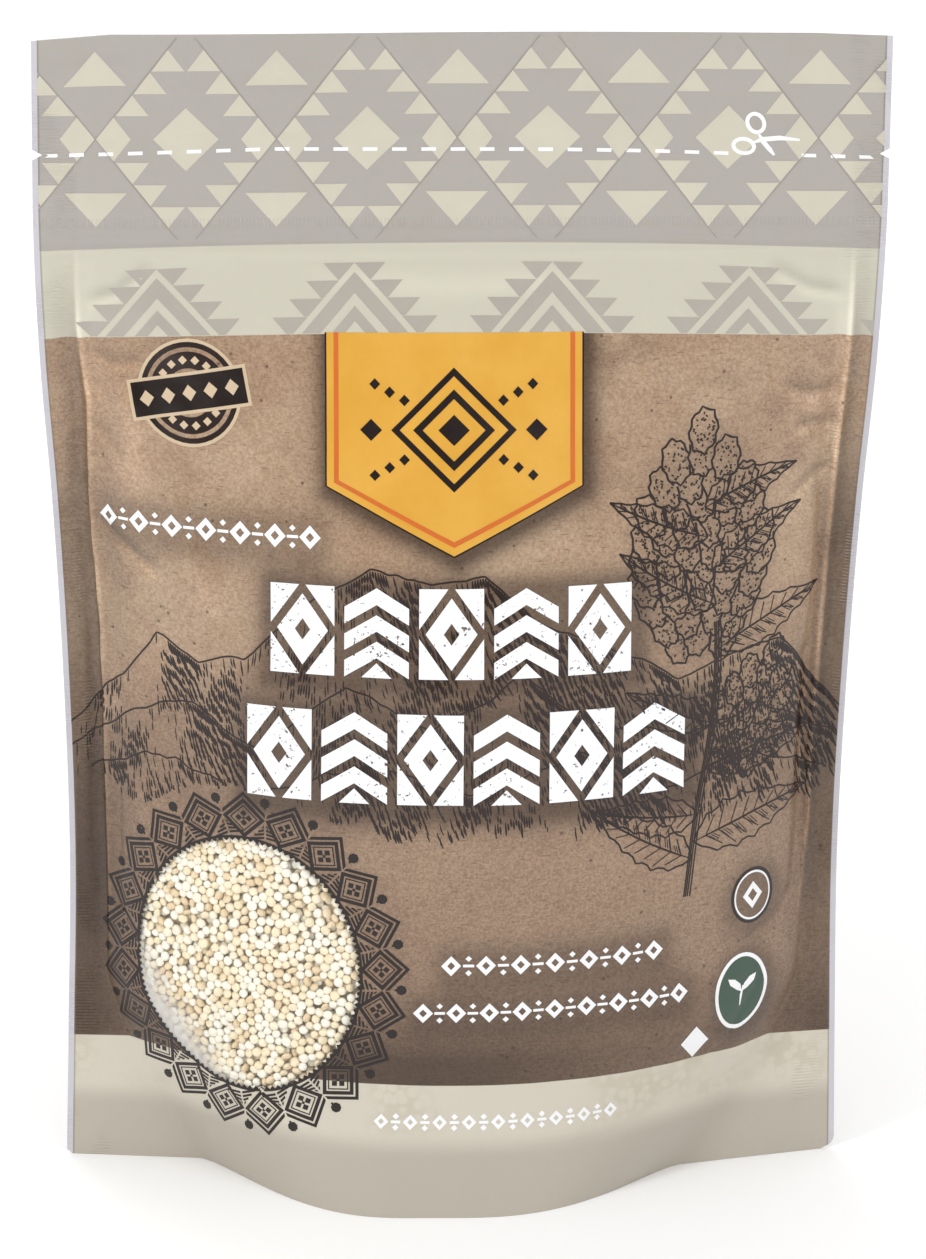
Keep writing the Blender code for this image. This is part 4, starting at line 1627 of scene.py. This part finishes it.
def hatched_range(ridge, floor, seed):
    """One range: its ridge, and strokes down its slopes that end at the range before it."""
    chance = np.random.default_rng(seed)
    u, v = ridge
    shapes = stroke(list(zip(u, v)), 0.40, False)
    slope = np.clip(np.gradient(np.convolve(v, np.ones(7) / 7, "same"), u), -1.0, 1.0)
    for k in range(4, len(u) - 4):
        level = v[k] - 0.4
        while level > floor[k]:
            patch = math.sin(u[k] / 4.3 + level / 6.1 + seed) + 0.8 * math.sin(u[k] / 2.1 - level / 3.7)
            shadow = 0.58 - 0.5 * slope[k] + 0.38 * patch
            length = chance.uniform(1.3, 3.4)
            if chance.uniform() < 0.15 + 0.85 * shadow:
                lean = (0.22 - 0.35 * slope[k]) * length
                width = 0.28 + 0.34 * min(max(shadow, 0.0), 1.0)
                shapes += stroke([(u[k], level), (u[k] + lean * 0.4, level - length * 0.55),
                                  (u[k] + lean, level - length)], width)
            level -= length + chance.uniform(0.1, 0.7)
    return shapes


def hills():
    """The ranges from back to front."""
    ridges = [ridge_line(points, 61 + k) for k, points in enumerate(RANGES)]
    shapes = []
    for k, ridge in enumerate(ridges):
        if k + 1 < len(ridges):
            floor = np.interp(ridge[0], *ridges[k + 1]) + 0.6
        else:
            floor = 87.5 + 1.5 * np.sin(ridge[0] / 4.7) + 1.2 * np.sin(ridge[0] / 1.9)
        shapes += hatched_range(ridge, floor, 71 + k)
    return [bit for bit in shapes if not near_window(bit[0][0] * MM, bit[0][1] * MM, RING_CLEAR)]


# %% Plant
STEM = ((50.0, 67.5), (51.5, 84.0), (55.0, 104.0), (56.0, 124.0), (53.0, 146.0), (51.0, 166.0))
LEAVES = ((0.10, -1, 27, 1.15), (0.13, 1, 31, 1.25), (0.20, -1, 24, 1.55), (0.30, 1, 29, 1.30),
          (0.40, -1, 22, 1.25), (0.56, 1, 27, 1.05), (0.66, -1, 25, 1.15), (0.74, 1, 24, 0.90),
          (0.82, -1, 23, 1.30), (0.88, 1, 22, 1.10))
KNOT_WIDE = 2.9
KNOT_TALL = 4.5
KNOT_PITCH = 4.6
HEADS = ((51.5, 174.0, 53.0, 15.5, 0.00, 1.05), (69.5, 123.0, 30.0, 10.0, -0.32, 0.85))


def smooth_line(points, count):
    """Many points on a smooth curve through a few."""
    spots = np.array(points, float)
    length = np.concatenate(([0.0], np.cumsum(np.hypot(*np.diff(spots, axis=0).T))))
    at = np.linspace(0.0, length[-1], count)
    return np.stack([smooth_value(length, spots[:, k], at) for k in (0, 1)], axis=1)


def leaf(u, v, turn, length, wide):
    """A toothed leaf as engraved lines: two edges, a midrib, veins and a shaded half."""
    share = np.linspace(0.0, 1.0, 21)
    tooth = 1.0 + 0.09 * np.where(np.arange(21) % 3 == 0, 1.0, -1.0)
    half = wide * np.sin(math.pi * share**0.72) * (1 - 0.25 * share) * tooth
    droop = -0.12 * length * share**2
    shapes = []
    for side in (-1, 1):
        edge = [(s * length, side * h + d) for s, h, d in zip(share, half, droop)]
        shapes += stroke(moved(edge, u, v, turn), LINE_WIDTH * 1.6, False)
        for k in range(2, 18, 2):
            foot = (share[k] * length, droop[k])
            tip = (share[k + 2] * length, side * half[k + 2] * 0.80 + droop[k + 2])
            shapes += stroke(moved([foot, tip], u, v, turn), LINE_WIDTH, False)
            if side < 0:
                for shift in (0.02, 0.04, 0.06):
                    a = ((share[k] + shift) * length, droop[k] - 0.15 * half[k])
                    b = ((share[k] + shift + 0.04) * length, droop[k] - 0.62 * half[k])
                    shapes += stroke(moved([a, b], u, v, turn), LINE_WIDTH * 0.8, False)
    rib = [(s * length, d) for s, d in zip(share, droop)]
    return shapes + stroke(moved(rib, u, v, turn), LINE_WIDTH * 1.8)


def seed_head(u, v, tall, wide, lean, size):
    """Knots of seeds below a tip, each one hiding those that were drawn before it."""
    chance = np.random.default_rng(int(u))
    knots = []
    rows = int(tall / (KNOT_PITCH * size))
    for row in reversed(range(rows)):
        share = row / (rows - 1)
        reach = wide * math.sin(math.pi * min(0.06 + 0.80 * share, 1.0)) ** 0.8
        count = max(int(round(2 * reach / (5.2 * size))), 1)
        for k in range(count):
            across = ((k + 0.5) / count * 2 - 1) * reach * (1.0 if count > 1 else 0.0)
            spot = (across + chance.uniform(-0.7, 0.7), -row * KNOT_PITCH * size - abs(across) * 0.25)
            spot = moved([spot], u, v - 4.0 * size, lean)[0]
            knots.append((spot, lean - across / wide * 0.55 + chance.uniform(-0.12, 0.12)))
    shapes = []
    for order, (spot, turn) in enumerate(knots):
        turns = np.linspace(0.0, 2 * math.pi, 23)
        bump = size * (1 + 0.09 * np.sin(8 * turns + chance.uniform(0, 6)))
        edge = [(KNOT_WIDE * b * math.sin(t), KNOT_TALL * b * math.cos(t)) for t, b in zip(turns, bump)]
        drawn = stroke(moved(edge, *spot, turn), LINE_WIDTH * 1.9, False)
        for _ in range(34):
            t, r = chance.uniform(0, 2 * math.pi), 0.85 * math.sqrt(chance.uniform())
            a = (KNOT_WIDE * size * r * math.sin(t), KNOT_TALL * size * r * math.cos(t))
            b = (a[0] + chance.uniform(-0.5, 0.5), a[1] - chance.uniform(0.2, 0.6))
            drawn += stroke(moved([a, b], *spot, turn), LINE_WIDTH * 1.4, False)
        for bit in drawn:
            middle = np.mean(bit, axis=0)
            hidden = False
            for other, angle in knots[order + 1:]:
                du, dv = middle[0] - other[0], middle[1] - other[1]
                across = du * math.cos(angle) + dv * math.sin(angle)
                along = dv * math.cos(angle) - du * math.sin(angle)
                reach = (across / (KNOT_WIDE * size)) ** 2 + (along / (KNOT_TALL * size)) ** 2
                hidden = hidden or reach < 0.96
            if not hidden:
                shapes.append(bit)
    return shapes


def plant():
    """Stem, leaves and seed heads."""
    stem = smooth_line(STEM, 80)
    shapes = []
    for shift in (-0.75, -0.35, 0.1, 0.7):
        shapes += stroke([(u + shift, v) for u, v in stem[:50]], LINE_WIDTH * 1.3, False)
    for share, side, length, turn in LEAVES:
        u, v = stem[int(share * 79)]
        shapes += leaf(u, v, math.pi / 2 - side * turn, length, length * 0.20)
    for head in HEADS:
        shapes += seed_head(*head)
    return shapes


lay_print("hill_lines", within_film(hills()), line_ink)
lay_print("plant_lines", within_film(plant()), line_ink, PRINT_LIFT * 1.6)

# %% [markdown]
# ## Printed shadows and painted light
# The print sets its white figures off with soft printed shadows. The kraft is also darker
# towards the side seals and the low border: partly the print's own darker border, partly
# painted shade where the film turns away. A pale line is painted on each sharp crease as a
# highlight, with painted shade in the valley beside it, and soft painted highlights lie on the
# folds. These are smooth fields, and the film's net is a millimetre fine or finer, so each is
# worked out at the net's points and stored as an attribute that the film's colour reads.

# %% Printed shadows, painted shade and painted crease light
BACK_SHADE = 0.12
SHADOW_SHIFT = (0.7, -1.0)
SHADOWS = (
    (block(-41.0, 119.6, 37.0, 140.0), 0.66, 3.4),
    (block(-46.0, 92.0, 49.2, 113.2), 0.66, 3.4),
    (pennant(0.0, 192.0), 0.80, 3.2),
    (block(-77.0, 146.5, -31.5, 152.0), 0.40, 4.0),
    (block(-2.0, 54.0, 42.6, 58.6), 0.50, 4.2),
    (block(-8.0, 43.0, 48.6, 47.6), 0.50, 4.2),
    (disc(66.6, 64.4, 5.8, 6.7, 16), 0.45, 3.0),
    (disc(64.2, 42.3, 7.0, 9.2, 16), 0.50, 3.2),
    (disc(WINDOW_U, WINDOW_V, 32.0, 36.0, 24), 0.14, 6.0),
    (disc(52.0, 146.0, 11.0, 22.0, 20), 0.26, 4.5),
    (disc(66.0, 110.0, 10.0, 14.0, 20), 0.12, 4.5),
    ([(-84, 92), (82, 90), (84, 104), (50, 114), (18, 128), (-14, 132), (-34, 122), (-62, 112)], 0.20, 5.0),
)


def printed_and_painted_shade(u, v):
    """How dark the kraft is at flat places in mm, from 0 to 1: printed shadows and border, and painted shade.
    """
    # Painted shade, partly the print's own darker border: towards both side seals and along the low border.
    left = unit((-u - 70.0) / 13.0) * np.clip((176.0 - v) / 40.0, 0.15, 1.0)
    left = left * (0.42 + 0.38 * np.exp(-((v - 62.0) / 34.0) ** 2))
    right = unit((u - 74.0) / 10.0) * unit((172.0 - v) / 24.0) * 0.48
    low = unit((50.0 - v) / 16.0) ** 1.2 * (0.44 + 0.36 * np.exp(-((u + 5.0) / 40.0) ** 2))
    clear = (1.0 - left) * (1.0 - right) * (1.0 - low)
    at_u, at_v = u - SHADOW_SHIFT[0], v - SHADOW_SHIFT[1]
    for shape, strength, reach in SHADOWS:
        distance, _ = along_line(at_u * MM, at_v * MM, list(shape) + [shape[0]])
        soft = np.exp(-(distance / MM / reach) ** 2)
        clear = clear * (1.0 - strength * np.where(inside_outline(at_u, at_v, shape), 1.0, soft))
    return 1.0 - clear


def seal_painted_light(u, v):
    """A painted highlight line on each seal's crease, and painted shade in the valley that starts sharply
    outside it.
    """
    tone = np.zeros(u.shape)
    for line, strength in ((LEFT_SEAL_LINE, 1.0), (RIGHT_SEAL_LINE, 1.1)):
        line_u, line_v = np.array(line, float).T
        side = math.copysign(1.0, line_u[0])
        outside = side * (u / MM - np.interp(v / MM, line_v, line_u))
        uneven = 1.0 + 0.30 * np.sin(v / MM / 6.3 + side) + 0.20 * np.sin(v / MM / 2.3)
        # pale is a painted highlight on the crease, dark is painted shade in the valley beside it.
        pale = 0.50 * np.exp(-((outside + 0.2) / 0.55) ** 2) + 0.12 * np.exp(-((outside + 1.8) / 2.2) ** 2)
        dark = 0.46 * unit(outside / 0.6) * np.exp(-np.maximum(outside, 0.0) / 3.6)
        along = unit((v / MM - 44.0) / 24.0) * unit((208.0 - v / MM) / 24.0)
        tone = tone + strength * along * (pale * uneven - dark)
    return tone


def crease_painted_light(u, v):
    """Painted light on the creases and folds: how much paler the film is painted on them, and how much darker
    beside them.
    """
    tone = seal_painted_light(u, v)
    for points, height, _ in CREASES:
        tone = tone + fold(u, v + 0.0012, points, -0.65 * height / MM, 1.1)
        tone = tone - fold(u, v - 0.0006, points, -0.60 * height / MM, 1.5)
    for points, height, width in FOLDS:
        tone = tone + fold(u, v, points, 0.28 * height / MM, width * 0.8)
    return tone


front_count = len(front_points) + len(edge_place)
film_printed_and_painted_shade = np.full(len(film_flat), BACK_SHADE)
film_printed_and_painted_shade[:front_count] = printed_and_painted_shade(*(film_flat[:front_count].T / MM))
film_crease_painted_light = crease_painted_light(*film_flat.T)
# Stored as shade (printed shadows and painted shade) and crease (painted highlights and painted shade).
for label, values in (("shade", film_printed_and_painted_shade), ("crease", film_crease_painted_light)):
    stored = pouch_film.data.attributes.new(label, "FLOAT", "POINT")
    stored.data.foreach_set("value", values.astype(np.float32))
    print(label, "from", round(float(values.min()), 2), "to", round(float(values.max()), 2))

# %% [markdown]
# ## Quinoa behind the window
# A quinoa grain is a small flattened disc with a raised rim, about two millimetres wide.
# The grains that lie against the film are packed nearly touching: their places start at
# random and push each other apart until they fit, which looks like poured grain where a
# lattice would look laid by hand. A second layer fills the gaps below. Geometry Nodes sets
# one modelled grain at each place, with its own size, tilt and tone.

# %% Packed places
GRAIN_SIZE = 2.15
GRAIN_CLOSENESS = 0.93
PUSHES = 90
PUSH_SHARE = 0.32
LAYER_MARGIN = 1.0
TOP_GRAINS = 690
LOWER_GRAINS = 600


def packed_places(count, seed, margin):
    """Flat places in mm inside the window, pushed apart until they nearly touch."""
    chance = np.random.default_rng(seed)
    half = np.array([WINDOW_HALF_WIDTH + margin, WINDOW_HALF_HEIGHT + margin])
    turn = chance.uniform(0.0, 2 * math.pi, count)
    out = np.sqrt(chance.uniform(0.0, 1.0, count))
    spots = np.stack((out * np.cos(turn), out * np.sin(turn)), axis=1) * half
    size = GRAIN_SIZE * chance.uniform(0.86, 1.10, count)
    wanted = (size[:, None] + size[None, :]) / 2 * GRAIN_CLOSENESS
    for _ in range(PUSHES):
        gap = spots[:, None, :] - spots[None, :, :]
        distance = np.hypot(gap[..., 0], gap[..., 1]) + np.eye(count) * 99.0
        push = np.clip(wanted - distance, 0.0, None) / distance
        spots = spots + (gap * push[..., None]).sum(axis=1) * PUSH_SHARE
        outside = np.hypot(*(spots / half).T)
        spots = np.where(outside[:, None] > 1.0, spots / outside[:, None], spots)
    return spots + np.array([WINDOW_U, WINDOW_V]), size


top_places, top_size = packed_places(TOP_GRAINS, 21, LAYER_MARGIN)
lower_places, lower_size = packed_places(LOWER_GRAINS, 22, LAYER_MARGIN)
print("grains:", len(top_places), "against the film and", len(lower_places), "below")


# %% One grain
def grain_mesh():
    """A flattened disc with a raised rim, one unit wide."""
    around, levels = 12, 7
    points = [(0.0, 0.0, -0.27)]
    for level in range(1, levels):
        lift = -math.pi / 2 + math.pi * level / levels
        ring = 0.5 * math.cos(lift) ** 0.75
        tall = 0.30 * math.sin(lift)
        rim = 1.0 + 0.05 * math.exp(-((tall / 0.07) ** 2))
        for k in range(around):
            turn = 2 * math.pi * k / around
            notch = 1.0 - 0.10 * math.exp(-((turn - math.pi) / 0.35) ** 2)
            points.append((ring * rim * notch * math.cos(turn), ring * rim * notch * math.sin(turn), tall))
    points.append((0.0, 0.0, 0.27))
    faces = [(0, 1 + (k + 1) % around, 1 + k) for k in range(around)]
    faces += belts(1, around, levels - 1)
    last = 1 + (levels - 2) * around
    faces += [(last + k, last + (k + 1) % around, len(points) - 1) for k in range(around)]
    mesh = bpy.data.meshes.new("quinoa_grain_shape")
    mesh.from_pydata(points, [], faces)
    mesh.shade_smooth()
    return in_scene("quinoa_grain_shape", mesh)


grain_shape = grain_mesh()
print("one grain:", triangle_count(grain_shape), "triangles")

# %% [markdown]
# ### Grain material
# Dry white quinoa runs from bright ivory to honey beige. Each grain keeps one tone, stored
# on it by the node tree, and a faint mottling sits on top. The finish is matte with a
# little sheen where the hull is smooth.

# %% Grain and core materials
GRAIN_IVORY = ink(252, 248, 235)
GRAIN_CREAM = ink(248, 234, 200)
GRAIN_BEIGE = ink(232, 208, 168)
# The core's tan is painted shade of the grain deeper down.
CORE_PAINTED_SHADE_TAN = ink(186, 166, 134)


def grain_material():
    """Ivory to beige, one tone a grain."""
    made, tree, shader = new_material("quinoa_grain")
    tone = stored_value(tree, "tone")
    colour = blend_colour(tree, ramp(tree, tone, 0.20, 0.70), GRAIN_IVORY, GRAIN_CREAM)
    colour = blend_colour(tree, ramp(tree, tone, 0.74, 1.0), colour, GRAIN_BEIGE)
    place = add_node(tree, "ShaderNodeTexCoord").outputs["Object"]
    spot = noise(tree, place, 900.0, 2.0, 0.5, 41.0)
    colour = blend_colour(tree, times(tree, ramp(tree, spot, 0.50, 0.75), 0.35), colour, GRAIN_BEIGE)
    tree.links.new(colour, shader.inputs["Base Color"])
    shader.inputs["Roughness"].default_value = 0.42
    add_relief(tree, shader, spot, 0.25, 0.0002)
    return made


def core_material():
    """The grain far below the window, its tan darkened with painted shade."""
    made, tree, shader = new_material("quinoa_core")
    place = add_node(tree, "ShaderNodeTexCoord").outputs["Object"]
    cells = add_node(tree, "ShaderNodeTexVoronoi", {"Vector": place, "Scale": 480.0})
    colour = blend_colour(tree, ramp(tree, cells.outputs["Distance"], 0.2, 0.7), ink(224, 206, 172), CORE_PAINTED_SHADE_TAN)
    tree.links.new(colour, shader.inputs["Base Color"])
    shader.inputs["Roughness"].default_value = 0.7
    return made


quinoa_grain = grain_material()
quinoa_core_surface = core_material()
print("grain materials made")

# %% [markdown]
# ### Grains by Geometry Nodes
# The tree takes the places as a mesh of points that carry the film's direction and the
# grain's size, and named inputs for the grain, its tilt, the seed and the material. It
# aligns a grain with the film, spins and tilts it by a seeded random angle, scales it,
# stores its tone, realizes the instances and sets the material.

# %% Grain tree
MOSTLY_FLAT = 2.2


def grain_tree():
    """Geometry Nodes group that sets a grain on each point."""
    tree = bpy.data.node_groups.new("set_grains", "GeometryNodeTree")
    for label, kind in (("Geometry", "Geometry"), ("Grain", "Object"), ("Tilt", "Float"), ("Seed", "Int"),
                        ("Material", "Material")):
        tree.interface.new_socket(label, in_out="INPUT", socket_type="NodeSocket" + kind)
    tree.interface.new_socket("Geometry", in_out="OUTPUT", socket_type="NodeSocketGeometry")
    given = tree.nodes.new("NodeGroupInput").outputs
    result = tree.nodes.new("NodeGroupOutput")

    def stored(name, kind):
        return add_node(tree, "GeometryNodeInputNamedAttribute", {"Name": name}, data_type=kind).outputs[0]

    def drawn(values, kind):
        values = {**values, "Seed": given["Seed"]}
        return add_node(tree, "FunctionNodeRandomValue", values, data_type=kind).outputs

    def turned(first, second):
        values = {0: first, 1: second}
        return add_node(tree, "FunctionNodeRotateRotation", values, rotation_space="LOCAL").outputs[0]

    values = {"Vector": stored("film_normal", "FLOAT_VECTOR")}
    along_film = add_node(tree, "FunctionNodeAlignRotationToVector", values, axis="Z").outputs[0]
    spin = drawn({"Max": (0.0, 0.0, 2 * math.pi)}, "FLOAT_VECTOR")[0]
    share = number(tree, "POWER", drawn({2: 0.0, 3: 1.0}, "FLOAT")[1], MOSTLY_FLAT)
    lean = add_node(tree, "ShaderNodeCombineXYZ", {"X": times(tree, share, given["Tilt"])}).outputs[0]
    stretch = drawn({"Min": (0.92, 0.88, 0.85), "Max": (1.06, 1.04, 1.20)}, "FLOAT_VECTOR")[0]
    values = {0: stretch, "Scale": stored("grain_size", "FLOAT")}
    scale = add_node(tree, "ShaderNodeVectorMath", values, operation="SCALE").outputs[0]
    shape = add_node(tree, "GeometryNodeObjectInfo", {"Object": given["Grain"]}).outputs["Geometry"]
    values = {"Points": given["Geometry"], "Instance": shape, "Scale": scale,
              "Rotation": turned(turned(turned(along_film, spin), lean), spin)}
    placed = add_node(tree, "GeometryNodeInstanceOnPoints", values).outputs[0]
    values = {"Name": "tone", "Geometry": placed, "Value": drawn({2: 0.0, 3: 1.0}, "FLOAT")[1]}
    toned = add_node(tree, "GeometryNodeStoreNamedAttribute", values, data_type="FLOAT", domain="INSTANCE")
    real = add_node(tree, "GeometryNodeRealizeInstances", {"Geometry": toned.outputs[0]}).outputs[0]
    values = {"Geometry": real, "Material": given["Material"]}
    painted = add_node(tree, "GeometryNodeSetMaterial", values)
    tree.links.new(painted.outputs[0], result.inputs["Geometry"])
    return tree


def point_cloud(places, size, depth_low, depth_high, seed):
    """A mesh of points behind the film, with the film's direction and each grain's size."""
    chance = np.random.default_rng(seed)
    depth = chance.uniform(depth_low, depth_high, len(places)) * MM
    spots, normals = on_front(places[:, 0] * MM, places[:, 1] * MM, -depth)
    mesh = bpy.data.meshes.new("grain_places")
    mesh.from_pydata([tuple(p) for p in spots], [], [])
    direction = mesh.attributes.new("film_normal", "FLOAT_VECTOR", "POINT")
    direction.data.foreach_set("vector", normals.astype(np.float32).ravel())
    wide = mesh.attributes.new("grain_size", "FLOAT", "POINT")
    wide.data.foreach_set("value", (size * MM).astype(np.float32))
    return in_scene("grain_places", mesh)


set_grains = grain_tree()


def grains_from(name, cloud, tilt, seed):
    """The realized grains of one layer as a plain mesh."""
    change = cloud.modifiers.new("set_grains", "NODES")
    change.node_group = set_grains
    named = {s.name: s.identifier for s in set_grains.interface.items_tree if s.in_out == "INPUT"}
    for label, value in (("Grain", grain_shape), ("Tilt", tilt), ("Seed", seed), ("Material", quinoa_grain)):
        change[named[label]] = value
    bpy.context.view_layer.update()
    seen = cloud.evaluated_get(bpy.context.evaluated_depsgraph_get())
    mesh = bpy.data.meshes.new_from_object(seen)
    mesh.name = name
    bpy.data.objects.remove(cloud)
    return in_scene(name, mesh)


# %% Grains against the film and below
layers = (("quinoa_grains", top_places, top_size, 1.12, 1.50, 1.25, 31),
          ("quinoa_grains_below", lower_places, lower_size, 2.35, 2.90, 1.45, 32))
for name, places, size, low, high, tilt, seed in layers:
    piece = grains_from(name, point_cloud(places, size, low, high, seed), tilt, seed)
    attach(piece, "root")
    if name == "quinoa_grains":
        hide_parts("quinoa")
    print(name + ":", triangle_count(piece), "triangles")
bpy.data.objects.remove(grain_shape)

# %% [markdown]
# ## Core and window film
# Behind the grains a shallow core closes the view into the pouch, its tan darkened with painted
# shade. In front of them the clear film carries on over the hole. It is a thin sheet with two
# faces, glossy and nearly clear, with a milky glare painted low on the left.

# %% Sheets that follow the film
def oval_sheet(margin, rings, around, inset_front, inset_back, bumps=0.0):
    """A closed sheet under the window, between two insets from the film, in mm."""
    flat = [(WINDOW_U, WINDOW_V)]
    for ring in range(1, rings + 1):
        share = ring / rings
        for k in range(around):
            turn = 2 * math.pi * k / around
            flat.append((WINDOW_U + (WINDOW_HALF_WIDTH + margin) * share * math.cos(turn),
                         WINDOW_V + (WINDOW_HALF_HEIGHT + margin) * share * math.sin(turn)))
    flat = np.array(flat) * MM
    faces = [(0, 1 + k, 1 + (k + 1) % around) for k in range(around)]
    faces += belts(1, around, rings, True)
    count = len(flat)
    faces += [tuple(count + i for i in reversed(face)) for face in faces]
    rim = 1 + (rings - 1) * around
    for k in range(around):
        a = rim + k
        b = rim + (k + 1) % around
        faces.append((a, count + a, count + b, b))
    chance = np.random.default_rng(51)
    uneven = chance.uniform(-1.0, 1.0, count) * bumps * MM
    front, _ = on_front(flat[:, 0], flat[:, 1], uneven - inset_front * MM)
    back, _ = on_front(flat[:, 0], flat[:, 1], -inset_back * MM)
    return np.concatenate((front, back)), faces, np.concatenate((flat, flat))


def window_material():
    """Clear glossy film, with a milky glare painted low on the left."""
    made, tree, shader = new_material("clear_film")
    place = flat_place(tree)
    across, up = across_and_up(tree, place)
    # A painted glare: the film is made more opaque and milky white towards the lower left.
    left = minus(tree, WINDOW_U + MIDDLE_MM - 9.0, across)
    down = minus(tree, WINDOW_V - 6.0, up)
    corner = plus(tree, left, times(tree, down, 0.75))
    uneven = times(tree, noise(tree, place, 0.2, 3.0), 7.0)
    painted_glare = ramp(tree, plus(tree, corner, uneven), 10.0, 27.0)
    alpha = plus(tree, 0.04, times(tree, painted_glare, 0.50))
    tree.links.new(alpha, shader.inputs["Alpha"])
    shader.inputs["Base Color"].default_value = ink(238, 236, 232)
    shader.inputs["Roughness"].default_value = 0.16
    add_relief(tree, shader, noise(tree, place, 0.42, 2.0, 0.5, 52.0), 0.6, 0.0004)
    return made


clear_film = window_material()
for name, sheet, surface, slot in (
        ("quinoa_core", oval_sheet(1.6, 22, 90, 3.2, 3.9, 0.25), quinoa_core_surface, "quinoa_grain"),
        ("window_film", oval_sheet(1.1, 24, 120, 0.06, 0.12), clear_film, "clear_film")):
    piece = new_piece(name, sheet[0], sheet[1], surface, sheet[2], sharp_angle=60)
    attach(piece, "root")
    print(name + ":", triangle_count(piece), "triangles")

# %% [markdown]
# ## Floor and light
# The pouch stands on a plain white floor in a bright, soft studio. A small lamp on the
# front left draws the creases, and broad ones on the front right and behind soften it.
# Even light from the whole ceiling keeps the far floor white too. The view transform is
# the plain one, so that printed colours come out as they are.

# %% Floor, lamps and surround
FLOOR_SIZE = 8.0
FLOOR_GAP = 0.00005
LAMP_AIM = Vector((0.0, 0.0, 0.12))
LAMPS = (
    ("lamp_key", (-1.20, -1.00, 0.95), 0.30, 0.45, 10.0),
    ("lamp_fill", (1.10, -1.25, 0.85), 1.10, 1.10, 8.5),
    ("lamp_back", (-0.60, 1.50, 0.90), 1.20, 1.20, 8.0),
)
CEILING_STRENGTH = 2.35
CEILING_ANGLE = math.radians(110.0)
SURROUND = 0.16


def add_floor():
    """A large plain floor just under the pouch."""
    half = FLOOR_SIZE / 2
    mesh = bpy.data.meshes.new("floor")
    level = float(cad_low.z) - FLOOR_GAP
    mesh.from_pydata([(u, v, level) for u, v in block(-half, -half, half, half)], [], [(0, 1, 2, 3)])
    made, tree, shader = new_material("floor_white")
    place = add_node(tree, "ShaderNodeTexCoord").outputs["Object"]
    tone = noise(tree, place, 3.0, 2.0)
    colour = blend_colour(tree, tone, (0.93, 0.93, 0.93, 1.0), (0.96, 0.96, 0.96, 1.0))
    tree.links.new(colour, shader.inputs["Base Color"])
    shader.inputs["Roughness"].default_value = 0.9
    mesh.materials.append(made)
    in_scene("floor", mesh)


def add_lamp(name, place, wide, tall, power):
    """A soft box that looks at the pouch."""
    data = bpy.data.lights.new(name, "AREA")
    data.shape = "RECTANGLE"
    data.size = wide
    data.size_y = tall
    data.energy = power
    made = in_scene(name, data)
    made.location = place
    made.rotation_euler = (Vector(place) - LAMP_AIM).to_track_quat("Z", "Y").to_euler()


def add_ceiling():
    """Very soft light from all over the ceiling, which reaches the far floor too."""
    data = bpy.data.lights.new("lamp_ceiling", "SUN")
    data.energy = CEILING_STRENGTH
    data.angle = CEILING_ANGLE
    in_scene("lamp_ceiling", data)


def add_surround():
    """A dim, even white surround."""
    world = bpy.data.worlds.new("surround")
    world.use_nodes = True
    shade = world.node_tree.nodes["Background"]
    shade.inputs["Color"].default_value = (1.0, 1.0, 1.0, 1.0)
    shade.inputs["Strength"].default_value = SURROUND
    bpy.context.scene.world = world


add_floor()
for lamp in LAMPS:
    add_lamp(*lamp)
add_ceiling()
add_surround()
bpy.context.scene.view_settings.view_transform = "Standard"
print("lamps:", len(LAMPS), "surround:", SURROUND)
